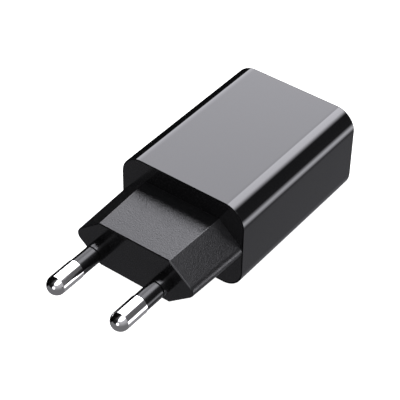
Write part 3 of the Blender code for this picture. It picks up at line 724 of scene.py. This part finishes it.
def makeCover():
    s = cover
    bm = bmesh.new()
    makePlugBlock(bm)
    for face in bm.faces:
        behindRim = face.calc_center_median().y > plugFaceY + s["rimRadius"]
        face.material_index = 1 if abs(face.normal.y) < 0.5 and behindRim else 0
    makePlate(bm)
    tail = pin["tailRadius"] + s["bossGap"]
    flange = pin["flangeRadius"] + s["bossGap"]
    boss = [
        (s["bossRadius"], 0.2 * mm - s["frontWall"]),
        (s["bossRadius"], -s["bossLength"]),
        (tail, -s["bossLength"]),
        (tail, -pin["flangeEnd"] - s["bossGap"]),
        (flange, -pin["flangeEnd"] - s["bossGap"]),
        (flange, s["bossGap"] - pin["flangeStart"]),
        (tail, s["bossGap"] - pin["flangeStart"]),
        (tail, 0.2 * mm - s["frontWall"]),
    ]
    for side in (-1, 1):
        turnProfile(bm, boss, Vector((side * pinX, plugFaceY, pinZ)), s["bossSteps"], closedLoop=True)
    finishPiece("frontCover", bm, ["satinBlack", "erodedBlack"], ["front_cover"])


makeCover()
print("front cover made")


# Pins and sleeves, turned about their own axes
def makePins():
    s = pin
    pinLength = plugFaceY - pinLow.y
    bareStart = plugFaceY - sleeveLow.y + s["bareGap"]
    tailEnd = plugFaceY - pinHigh.y
    for side, word in ((-1, "left"), (1, "right")):
        centre = Vector((side * pinX, plugFaceY, pinZ))
        profile = []
        for step in range(s["noseSteps"] + 1):
            angle = math.radians(90 * step / s["noseSteps"])
            along = pinLength - s["radius"] + s["radius"] * math.cos(angle)
            profile.append((s["radius"] * math.sin(angle), along))
        profile += [
            (s["radius"], bareStart + s["edge"]),
            (s["radius"] - s["edge"] * 0.3, bareStart + s["edge"] * 0.3),
            (s["radius"] - s["edge"], bareStart),
            (s["shankRadius"], bareStart),
            (s["shankRadius"], -s["shankDepth"]),
            (s["tailRadius"], -s["shankDepth"] - s["taperLength"]),
            (s["tailRadius"], -s["flangeStart"]),
            (s["flangeRadius"], -s["flangeStart"]),
            (s["flangeRadius"], -s["flangeEnd"]),
            (s["tailRadius"], -s["flangeEnd"]),
            (s["tailRadius"], tailEnd + s["taperLength"]),
            (s["tailRadius"] - s["taperLength"], tailEnd),
            (0, tailEnd),
        ]
        bm = bmesh.new()
        turnProfile(bm, profile, centre, s["turnSteps"])
        finishPiece("pin" + word.title(), bm, "nickel", ["pin_" + word], sharp=40)
        outer = s["sleeveRadius"]
        inner = s["shankRadius"] + s["sleeveGap"]
        top = bareStart - s["sleeveGap"]
        groove = s["grooveDistance"]
        root = outer + s["rootSwell"]
        ring = [
            (inner, top),
            (outer - 0.75 * s["sleeveEdge"], top),
            (outer, top - s["sleeveEdge"]),
            (outer, groove + s["grooveWidth"]),
            (outer - s["grooveDepth"], groove + s["grooveWidth"] * 0.8),
            (outer - s["grooveDepth"], groove + s["grooveWidth"] * 0.2),
            (root, groove),
            (root, -s["sleeveDepth"]),
            (inner, -s["sleeveDepth"]),
        ]
        bm = bmesh.new()
        turnProfile(bm, ring, centre, s["turnSteps"], closedLoop=True)
        name = "pinSleeve" + word.title()
        finishPiece(name, bm, "sleeveBlack", ["pin_sleeve_" + word], sharp=40)


makePins()
print("pins made")


# USB socket shell: a drawn steel cup with four sprung fingers pressed into its walls
socket = {
    "height": 5.72 * mm,
    "cornerRadius": 0.75 * mm,
    "sheet": 0.3 * mm,
    "backWall": 0.3 * mm,
    "rimEdge": 0.09 * mm,
    "fingerX": 3.1 * mm,
    "fingerHalfWidth": 1.0 * mm,
    "fingerStart": 3.2 * mm,
    "fingerLength": 5.2 * mm,
    "slotWidth": 0.28 * mm,
    "slotDepth": 0.2 * mm,
    "fingerPress": 0.22 * mm,
    "legWidth": 1.1 * mm,
    "legPlaces": (2.0 * mm, 8.6 * mm),
}


def cutFlatWall(bm, side):
    s = socket
    wallZ = bodyMidZ + side * (s["height"] / 2 - s["sheet"])
    mouthY = portHigh.y
    for x in (-s["fingerX"], s["fingerX"]):
        planes = [
            (Vector((x - s["fingerHalfWidth"], 0, 0)), Vector((1, 0, 0))),
            (Vector((x + s["fingerHalfWidth"], 0, 0)), Vector((1, 0, 0))),
            (Vector((0, mouthY - s["fingerStart"], 0)), Vector((0, 1, 0))),
            (Vector((0, mouthY - s["fingerStart"] - s["fingerLength"], 0)), Vector((0, 1, 0))),
        ]
        for point, normal in planes:
            wall = [f for f in bm.faces if all(abs(v.co.z - wallZ) < 1e-6 for v in f.verts)]
            edges = {e for f in wall for e in f.edges}
            verts = {v for f in wall for v in f.verts}
            geometry = wall + list(edges) + list(verts)
            bmesh.ops.bisect_plane(bm, geom=geometry, dist=1e-8, plane_co=point, plane_no=normal)
    middleY = mouthY - s["fingerStart"] - s["fingerLength"] / 2
    for x in (-s["fingerX"], s["fingerX"]):
        centre = Vector((x, middleY, wallZ))
        finger = [f for f in bm.faces if (f.calc_center_median() - centre).length < 0.3 * mm][0]
        slot = insetFace(bm, finger, s["slotWidth"])
        pressed = bmesh.ops.extrude_face_region(bm, geom=slot)["geom"]
        bmesh.ops.delete(bm, geom=slot, context="FACES_ONLY")
        sunk = only(pressed, bmesh.types.BMVert)
        bmesh.ops.translate(bm, vec=Vector((0, 0, side * s["slotDepth"])), verts=sunk)
        free = [v for v in finger.verts if v.co.y < middleY]
        bmesh.ops.translate(bm, vec=Vector((0, 0, -side * s["fingerPress"])), verts=free)


def makeSocketShell():
    s = socket
    bm = bmesh.new()
    width = portHigh.x - portLow.x
    back = roundedFace(bm, width, s["height"], s["cornerRadius"], 6, portLow.y, bodyMidZ)
    mouth = extrudeFace(bm, back, Vector((0, portHigh.y - portLow.y, 0)))
    rim = list(mouth.edges)
    insetFace(bm, mouth, s["sheet"])
    rim += list(mouth.edges)
    extrudeFace(bm, mouth, Vector((0, portLow.y + s["backWall"] - portHigh.y, 0)))
    bevel(bm, rim, s["rimEdge"], 3)
    cutFlatWall(bm, 1)
    cutFlatWall(bm, -1)
    legTop = bodyMidZ - s["height"] / 2 + s["cornerRadius"]
    for x in (portLow.x + s["sheet"] / 2, portHigh.x - s["sheet"] / 2):
        for place in s["legPlaces"]:
            y = portLow.y + place
            leg = bmesh.ops.create_cube(bm, size=1.0)["verts"]
            bmesh.ops.scale(bm, vec=Vector((s["sheet"], s["legWidth"], legTop - portLow.z)), verts=leg)
            bmesh.ops.translate(bm, vec=Vector((x, y, (legTop + portLow.z) / 2)), verts=leg)
    finishPiece("usbShell", bm, "stampedSteel", ["usb_shell"], weighted=False)


makeSocketShell()
print("usb socket made")


# Turned parts inside: capacitors, resistor, choke and disc
turnedParts = {
    "steps": 64,
    "filmWrap": 0.45 * mm,
    "shoulder": 0.55 * mm,
    "crimpDepth": 0.22 * mm,
    "crimpPlaces": (2.2 * mm, 1.8 * mm, 1.5 * mm, 1.1 * mm),
    "filmEdge": 0.15 * mm,
    "filmLip": 0.5 * mm,
    "canGap": 0.05 * mm,
    "bungGap": 0.02 * mm,
    "stripeShare": 0.13,
    "bandStarts": (-1.75, -0.75, 0.25, 1.3),
    "bandWidth": 0.5,
    "chokeWire": 0.36 * mm,
}


def turnedPiece(
    name, profile, centre, axis, finish, nodes, closedLoop=False, paint=None, sharp=35,
):
    bm = bmesh.new()
    turnProfile(bm, profile, Vector((0, 0, 0)), turnedParts["steps"], closedLoop)
    if paint:
        for face in bm.faces:
            face.material_index = paint(face.calc_center_median())
    if axis == "x":
        turn = Matrix.Rotation(math.radians(90), 3, "Z")
        bmesh.ops.rotate(bm, cent=(0, 0, 0), matrix=turn, verts=bm.verts)
    if axis == "z":
        turn = Matrix.Rotation(math.radians(-90), 3, "X")
        bmesh.ops.rotate(bm, cent=(0, 0, 0), matrix=turn, verts=bm.verts)
    bmesh.ops.translate(bm, vec=centre, verts=bm.verts)
    return finishPiece(name, bm, finish, nodes, sharp=sharp, weighted=False)


def capacitorAxis(prefix):
    filmLow, filmHigh = boxOf(prefix + "_film")
    bungLow, bungHigh = boxOf(prefix + "_bung")
    size = filmHigh - filmLow
    axis = "x" if size.x > size.y else "y"
    middle = (filmLow + filmHigh) / 2
    bungMiddle = (bungLow + bungHigh) / 2
    length = size.x if axis == "x" else size.y
    radius = size.z / 2
    if axis == "x":
        towards = 1 if bungMiddle.x > middle.x else -1
    else:
        towards = 1 if bungMiddle.y > middle.y else -1
    return axis, middle, length, radius, towards


def crimped(radius, half):  # the groove rolled round a can near the end that its leads leave
    places = turnedParts["crimpPlaces"]
    depths = (0, turnedParts["crimpDepth"], turnedParts["crimpDepth"], 0)
    return [(radius - depth, half - place) for depth, place in zip(depths, places)]


def makeCapacitor(prefix, pieceName):
    s = turnedParts
    axis, middle, length, radius, towards = capacitorAxis(prefix)
    side = -towards if axis == "y" else towards  # the profile runs along -Y, and the turn sends -Y to +X
    half = length / 2
    wrap = s["filmWrap"]
    edge = s["filmEdge"]
    lip = radius - wrap - s["filmLip"]
    ends = [
        (lip, -half),
        (radius - wrap * 0.6, -half),
        (radius - edge, -half + edge),
        (radius, -half + s["shoulder"]),
        *crimped(radius, half),
        (radius, half - 0.5 * mm),
        (radius - edge, half - edge),
        (radius - wrap * 0.6, half),
        (lip, half),
    ]
    inside = [(radius - wrap, half - 0.2 * mm), (radius - wrap, -half + 0.2 * mm)]
    film = [(r, y * side) for r, y in ends + inside]
    limit = math.radians(180 * s["stripeShare"])

    def stripe(point):
        return 1 if abs(math.atan2(point.x, -point.z)) < limit else 0

    name = pieceName + "Film"
    turnedPiece(
        name, film, middle, axis, ["greenFilm", "paleStripe"], [prefix + "_film"],
        closedLoop=True, paint=stripe,
    )
    canRadius = radius - wrap - s["canGap"]
    bungSpace = canRadius - 0.7 * mm
    canShape = [
        (0, -half + 0.3 * mm),
        (canRadius - 0.5 * mm, -half + 0.3 * mm),
        (canRadius, -half + 0.75 * mm),
        *crimped(canRadius, half),
        (canRadius, half + 0.15 * mm),
        (canRadius - 0.35 * mm, half + 0.3 * mm),
        (bungSpace, half + 0.2 * mm),
        (bungSpace, half - 1.3 * mm),
        (0, half - 1.3 * mm),
    ]
    can = [(r, y * side) for r, y in canShape]
    turnedPiece(
        pieceName + "Can", can, middle, axis, "canAluminium", [prefix + "_can"],
    )
    bungRadius = bungSpace - s["bungGap"]
    bung = [
        (0, half - 1.3 * mm + s["bungGap"]),
        (bungRadius, half - 1.3 * mm + s["bungGap"]),
        (bungRadius, half + 0.15 * mm),
        (bungRadius - 0.25 * mm, half + 0.4 * mm),
        (0.45 * radius, half + 0.4 * mm),
        (0.38 * radius, half + 0.2 * mm),
        (0, half + 0.2 * mm),
    ]
    bung = [(r, y * side) for r, y in bung]
    turnedPiece(pieceName + "Bung", bung, middle, axis, "blackRubber", [prefix + "_bung"])


def makeResistor():
    s = turnedParts
    low, high = boxOf("fusible_resistor_body")
    middle = (low + high) / 2
    half = (high.x - low.x) / 2
    radius = (high.z - low.z) / 2
    waist = radius - 0.3 * mm
    profile = [
        (0, -half),
        (radius * 0.5, -half),
        (radius * 0.85, -half + 0.2 * mm),
        (radius, -half + 0.7 * mm),
        (radius, -half + 1.2 * mm),
        (waist, -half + 1.7 * mm),
    ]
    cuts = sorted(
        edge * mm for start in s["bandStarts"] for edge in (start, start + s["bandWidth"])
    )
    profile += [(waist, cut) for cut in cuts if abs(cut) < half - 1.75 * mm]
    profile += [(r, -y) for r, y in reversed(profile[:6])]

    def band(point):
        spot = -point.y / mm
        if math.hypot(point.x, point.z) > waist + 0.05 * mm:
            return 0
        for index, start in enumerate(s["bandStarts"]):
            if start < spot < start + s["bandWidth"]:
                return index + 1
        return 0

    finishList = ["greyLacquer", "bandBrown", "bandBlack", "bandRed", "bandGold"]
    turnedPiece(
        "resistorBody", profile, middle, "x", finishList, ["fusible_resistor_body"],
        paint=band,
    )


def makeChoke():
    s = turnedParts
    low, high = boxOf("filter_choke_drum")
    middle = (low + high) / 2
    radius = (high.x - low.x) / 2
    half = (high.z - low.z) / 2
    windLow, windHigh = boxOf("filter_choke_winding")
    windHalf = (windHigh.z - windLow.z) / 2
    windRadius = (windHigh.x - windLow.x) / 2
    core = windRadius - 0.6 * mm
    drum = [
        (0, -half),
        (radius - 0.2 * mm, -half),
        (radius, -half + 0.2 * mm),
        (radius, -windHalf - 0.2 * mm),
        (radius - 0.15 * mm, -windHalf - 0.02 * mm),
        (core - 0.02 * mm, -windHalf - 0.02 * mm),
    ]
    drum += [(r, -y) for r, y in reversed(drum)]
    turnedPiece("chokeDrum", drum, middle, "z", "ferrite", ["filter_choke_drum"])
    turns = int(2 * windHalf / s["chokeWire"])
    pitch = 2 * windHalf / turns
    coil = [(core, -windHalf)]
    for turn in range(turns):
        for step in range(1, 6):
            angle = math.pi * step / 6
            along = -windHalf + pitch * (turn + 0.5 - 0.5 * math.cos(angle))
            coil.append((windRadius - pitch / 2 * (1 - math.sin(angle)), along))
    coil.append((core, windHalf))
    turnedPiece(
        "chokeWinding", coil, middle, "z", "chokeCopper", ["filter_choke_winding"],
        closedLoop=True, sharp=80,
    )


def makeDisc():
    low, high = boxOf("safety_capacitor_disc")
    middle = (low + high) / 2
    half = (high.x - low.x) / 2
    radius = (high.z - low.z) / 2
    profile = [(0, -half)]
    for step in range(13):
        angle = math.radians(180 * step / 12)
        swell = half * (0.82 if 0 < step < 12 else 0.9)
        profile.append((radius - half + half * math.sin(angle), -swell * math.cos(angle)))
    profile.append((0, half))
    turnedPiece("safetyDisc", profile, middle, "x", "blueEpoxy", ["safety_capacitor_disc"])


for prefix, pieceName in (
    ("input_capacitor_1", "inputCapacitor1"),
    ("input_capacitor_2", "inputCapacitor2"),
    ("output_capacitor", "outputCapacitor"),
):
    makeCapacitor(prefix, pieceName)
makeResistor()
makeChoke()
makeDisc()
print("turned parts made")


# The other pieces inside keep their CAD shape, merged, with softened edges. Each row is part of a
# node's name, then its finish, its slot and the width of its edges in mm
softened = {
    "usb_insulator": ("whiteNylon", "white_nylon", 0.08),
    "usb_contact": ("goldPlate", "gold_plated_contact", 0.04),
    "contact_strip": ("springBrass", "spring_brass", 0.04),
    "_lead_": ("tinnedWire", "tinned_wire", 0.0),
    "terminal": ("tinnedWire", "tinned_wire", 0.0),
    "core_tape": ("yellowTape", "yellow_tape", 0.06),
    "winding_tape": ("yellowTape", "yellow_tape", 0.0),
    "transformer_core": ("ferrite", "ferrite", 0.12),
    "transformer_bobbin": ("mouldedResin", "bobbin_resin", 0.06),
    "_winding": ("windingCopper", "enamelled_copper", 0.0),
    "chip_capacitor": ("chipCeramic", "chip_ceramic", 0.05),
    "chip_resistor": ("chipCeramic", "chip_ceramic", 0.05),
    "bridge_rectifier": ("mouldedResin", "black_moulding_resin", 0.05),
    "controller_chip": ("mouldedResin", "black_moulding_resin", 0.03),
    "output_diode": ("mouldedResin", "black_moulding_resin", 0.05),
    "circuit_board": ("solderMask", "glass_epoxy_board", 0.0),
}


def pieceNameOf(node):
    words = node.split("_")
    return words[0] + "".join(word.title() for word in words[1:])


def makeSoftened():
    done = {node for names in doneNodes for node in names}
    for node, source in list(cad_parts.items()):
        if node in done:
            continue
        finish, slotName, edge = next(value for key, value in softened.items() if key in node)
        bm = bmesh.new()
        bm.from_mesh(source.data)
        bmesh.ops.remove_doubles(bm, verts=bm.verts, dist=2e-6)
        bmesh.ops.dissolve_limit(
            bm, angle_limit=math.radians(0.6), verts=bm.verts, edges=bm.edges, delimit={"NORMAL"},
        )
        for face in bm.faces:
            face.material_index = 0
        obj = finishPiece(pieceNameOf(node), bm, finish, [node], sharp=35, weighted=False)
        if edge:
            soften = obj.modifiers.new("edges", "BEVEL")
            soften.width = edge * mm
            soften.segments = 2
            soften.limit_method = "ANGLE"
            soften.angle_limit = math.radians(50)
            soften.use_clamp_overlap = True


makeSoftened()
print("inner pieces softened")


# Solder under the board and printed outlines on it
boardDetail = {
    "solderRadius": 0.75 * mm,
    "solderTip": 0.36 * mm,
    "solderLift": 0.06 * mm,
    "printWidth": 0.16 * mm,
    "printHeight": 0.03 * mm,
    "printMargin": 0.35 * mm,
}


def leadSpots():
    spots = []
    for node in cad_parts:
        low, high = boxOf(node)
        middle = (low + high) / 2
        thick = 0.3 * mm
        if "terminal" in node or "safety_capacitor_lead" in node:
            spots.append((middle.x, middle.y))
        elif node.startswith("input_capacitor") and "lead" in node:
            spots.append((high.x - thick if middle.x < 0 else low.x + thick, middle.y))
        elif node.startswith("output_capacitor_lead"):
            spots.append((middle.x, low.y + thick))
        elif node.startswith("fusible_resistor_lead"):
            spots.append((low.x + thick if middle.x < 0 else high.x - thick, middle.y))
    return spots


def makeSolder():
    s = boardDetail
    boardLow = boxOf("circuit_board")[0]
    depth = boardLow.z - boxOf("transformer_terminal_1")[0].z - s["solderLift"]
    bm = bmesh.new()
    for x, y in leadSpots():
        made = bmesh.ops.create_cone(
            bm, cap_ends=True, segments=20, radius1=s["solderTip"], radius2=s["solderRadius"], depth=depth,
        )["verts"]
        bmesh.ops.translate(bm, vec=Vector((x, y, boardLow.z - depth / 2)), verts=made)
    finishPiece("solderJoints", bm, "solderTin", [], sharp=60, weighted=False)


def makePrint():
    s = boardDetail
    top = boxOf("circuit_board")[1].z + s["printHeight"]
    bm = bmesh.new()
    for node in ("input_capacitor_1_film", "input_capacitor_2_film", "output_capacitor_film",
                 "fusible_resistor_body", "filter_choke_drum", "output_diode", "transformer_bobbin"):
        low, high = boxOf(node)
        middle = (low + high) / 2
        wide = high.x - low.x + 2 * s["printMargin"]
        deep = high.y - low.y + 2 * s["printMargin"]
        made = bmesh.ops.create_grid(bm, x_segments=1, y_segments=1, size=0.5)["verts"]
        bmesh.ops.scale(bm, vec=Vector((wide, deep, 1)), verts=made)
        bmesh.ops.translate(bm, vec=Vector((middle.x, middle.y, top)), verts=made)
        face = made[0].link_faces[0]
        bmesh.ops.inset_region(
            bm, faces=[face], thickness=s["printWidth"], use_even_offset=True, use_boundary=True,
        )
        bmesh.ops.delete(bm, geom=[face], context="FACES_ONLY")
    sheet = list(bm.faces)
    bmesh.ops.solidify(bm, geom=sheet, thickness=s["printHeight"])
    finishPiece("boardPrint", bm, "printWhite", [], weighted=False)


makeSolder()
makePrint()
print("board details made")


# Floor, light and camera
studio = {
    "floorSize": 6.0,
    "floorGlow": 0.9,
    "floorColor": (0.95, 0.95, 0.95),
    "domeStrength": 1.0,
    "panelGain": 10.0,
    "panelTint": (0.985, 0.98, 1.05, 1.0),
}


def makeFloor():
    bm = bmesh.new()
    bmesh.ops.create_grid(bm, x_segments=1, y_segments=1, size=studio["floorSize"] / 2)
    mesh = bpy.data.meshes.new("floor")
    bm.to_mesh(mesh)
    bm.free()
    floor = bpy.data.objects.new("floor", mesh)
    bpy.context.scene.collection.objects.link(floor)
    material = bpy.data.materials.new("paleFloor")
    material.use_nodes = True
    tree = material.node_tree
    shader = tree.nodes["Principled BSDF"]
    shader.inputs["Base Color"].default_value = (*studio["floorColor"], 1.0)
    shader.inputs["Roughness"].default_value = 0.9
    shader.inputs["Specular IOR Level"].default_value = 0.0
    shader.inputs["Emission Color"].default_value = (1.0, 1.0, 1.0, 1.0)
    shader.inputs["Emission Strength"].default_value = studio["floorGlow"]
    mesh.materials.append(material)
    floor.visible_glossy = False


# Three long soft panels beside the charger. Angles go round its long axis in degrees, 0 straight up
# and positive towards +X, and each panel fades in over rise and out over fall
panels = {
    "wide": {"rise": (-69, -65), "fall": (-22, -18), "brightness": 0.515},
    "overhead": {"rise": (-22, -16), "fall": (8, 34), "brightness": 0.92},
    "low": {"rise": (88, 110), "fall": (108, 132), "brightness": 0.46},
}

# The rest of the room: how bright it is ahead, how far that reaches, and its pale ceiling
room = {
    "wall": 0.0195,
    "wallLift": 0.035,
    "wallHeights": (-0.4, 0.5),
    "ceiling": 0.42,
    "ceilingHeights": (0.48, 0.88),
    "darkShare": 0.02,
    "darkEdge": (0.02, 0.14),
    "darkHeights": (0.0, -0.2),
    "rightCap": 0.055,
    "rightAngles": (50, 40),
    "cardAim": Vector((-0.9, 0.2, 0.35)),
    "cardCone": (60, 54),
    "lampAim": Vector((0.16, -0.98, 0.085)),
    "lampCone": (16, 14),
    "lampBrightness": 0.19,
    "panelStart": (0.42, 0.53),
    "panelEnd": (0.90, 0.80),
    "gap": 0.012,
    "gapLift": 0.02,
    "gapHeights": (-0.1, -0.7),
    "gapShare": 0.05,
    "gapEdge": (-0.5, 0.0),
}


def smoothStep(add, join, value, low, high):
    step = add("ShaderNodeMapRange", interpolation_type="SMOOTHSTEP")
    step.inputs["From Min"].default_value = low
    step.inputs["From Max"].default_value = high
    join(value, step.inputs["Value"])
    return step.outputs["Result"]


def softPanel(add, join, angle, panel):
    rise = smoothStep(add, join, angle, *panel["rise"])
    fall = smoothStep(add, join, angle, *reversed(panel["fall"]))
    both = mathNode(add, join, "MULTIPLY", rise, fall)
    return mathNode(add, join, "MULTIPLY", both, panel["brightness"])


# 1 inside a cone of directions, with its outer and inner half angles in degrees
def directionSpot(add, join, direction, aim, cone):
    outer, inner = (math.cos(math.radians(half)) for half in cone)
    dot = add("ShaderNodeVectorMath", operation="DOT_PRODUCT")
    join(direction, dot.inputs[0])
    dot.inputs[1].default_value = aim.normalized()
    return smoothStep(add, join, dot.outputs["Value"], outer, inner)


def makeWorld():
    world = bpy.data.worlds.new("studio")
    bpy.context.scene.world = world
    world.use_nodes = True
    tree = world.node_tree
    tree.nodes.clear()
    add, join = nodeGraph(tree)
    coords = add("ShaderNodeTexCoord")
    parts = add("ShaderNodeSeparateXYZ")
    join(coords.outputs["Generated"], parts.inputs[0])
    east, along, height = parts.outputs["X"], parts.outputs["Y"], parts.outputs["Z"]
    angle = mathNode(add, join, "ARCTAN2", east, height)
    angle = mathNode(add, join, "DEGREES", angle)
    gapGlow = smoothStep(add, join, height, *room["gapHeights"])
    gapGlow = mathNode(add, join, "MULTIPLY_ADD", gapGlow, room["gapLift"], room["gap"])
    gapShade = smoothStep(add, join, east, *room["gapEdge"])
    gapShade = mathNode(add, join, "MULTIPLY_ADD", gapShade, 1 - room["gapShare"], room["gapShare"])
    softbox = mathNode(add, join, "MULTIPLY", gapGlow, gapShade)
    for panel in panels.values():
        softbox = mathNode(add, join, "ADD", softbox, softPanel(add, join, angle, panel))
    wall = smoothStep(add, join, height, *room["wallHeights"])
    wall = mathNode(add, join, "MULTIPLY_ADD", wall, room["wallLift"], room["wall"])
    around = smoothStep(add, join, height, *room["ceilingHeights"])
    around = mathNode(add, join, "MULTIPLY_ADD", around, room["ceiling"], wall)
    shade = smoothStep(add, join, east, *room["darkEdge"])
    shade = mathNode(add, join, "MULTIPLY_ADD", shade, 1 - room["darkShare"], room["darkShare"])
    shade = mathNode(add, join, "MAXIMUM", shade, smoothStep(add, join, height, *room["darkHeights"]))
    around = mathNode(add, join, "MULTIPLY", around, shade)
    cap = smoothStep(add, join, angle, *room["rightAngles"])
    around = mathNode(add, join, "MINIMUM", around, mathNode(add, join, "ADD", cap, room["rightCap"]))
    card = directionSpot(add, join, coords.outputs["Generated"], room["cardAim"], room["cardCone"])
    uncovered = mathNode(add, join, "SUBTRACT", 1.0, card, clamp=True)
    around = mathNode(add, join, "MULTIPLY", around, uncovered)
    lamp = directionSpot(add, join, coords.outputs["Generated"], room["lampAim"], room["lampCone"])
    around = mathNode(add, join, "MULTIPLY_ADD", lamp, room["lampBrightness"], around)
    start = smoothStep(add, join, along, *room["panelStart"])
    end = smoothStep(add, join, along, *room["panelEnd"])
    share = mathNode(add, join, "MULTIPLY", start, end)
    blend = add("ShaderNodeMix", data_type="RGBA")
    join(share, blend.inputs[0])
    join(around, blend.inputs[6])
    join(softbox, blend.inputs[7])
    tint = add("ShaderNodeMix", data_type="RGBA", blend_type="MULTIPLY")
    tint.inputs[0].default_value = 1.0
    join(blend.outputs[2], tint.inputs[6])
    tint.inputs[7].default_value = studio["panelTint"]
    mirrored = add("ShaderNodeBackground")
    mirrored.inputs["Strength"].default_value = studio["panelGain"]
    join(tint.outputs[2], mirrored.inputs["Color"])
    dome = add("ShaderNodeBackground")
    dome.inputs["Color"].default_value = (1.0, 1.0, 1.0, 1.0)
    dome.inputs["Strength"].default_value = studio["domeStrength"]
    path = add("ShaderNodeLightPath")
    pick = add("ShaderNodeMixShader")
    join(path.outputs["Is Glossy Ray"], pick.inputs[0])
    join(dome.outputs[0], pick.inputs[1])
    join(mirrored.outputs[0], pick.inputs[2])
    output = add("ShaderNodeOutputWorld")
    join(pick.outputs[0], output.inputs["Surface"])


cameraSetup = {
    "azimuth": 36.2,
    "elevation": 40.8,
    "roll": 1.23,
    "distance": 371.6 * mm,
    "aim": Vector((0.0, 2.05, 14.5)) * mm,
    "lens": 136.9,
}


def makeCamera():
    s = cameraSetup
    azimuth = math.radians(s["azimuth"])
    elevation = math.radians(s["elevation"])
    away = Vector((
        math.sin(azimuth) * math.cos(elevation),
        -math.cos(azimuth) * math.cos(elevation),
        math.sin(elevation),
    ))
    data = bpy.data.cameras.new("camera")
    data.lens = s["lens"]
    data.sensor_width = 36.0
    data.clip_start = 0.01
    data.clip_end = 50.0
    camera = bpy.data.objects.new("camera", data)
    bpy.context.scene.collection.objects.link(camera)
    camera.location = s["aim"] + away * s["distance"]
    camera.rotation_mode = "QUATERNION"
    roll = Quaternion((0, 0, 1), math.radians(s["roll"]))
    camera.rotation_quaternion = (-away).to_track_quat("-Z", "Y") @ roll
    bpy.context.scene.camera = camera


makeFloor()
makeWorld()
makeCamera()
bpy.context.scene.view_settings.view_transform = "Standard"
print("studio ready")
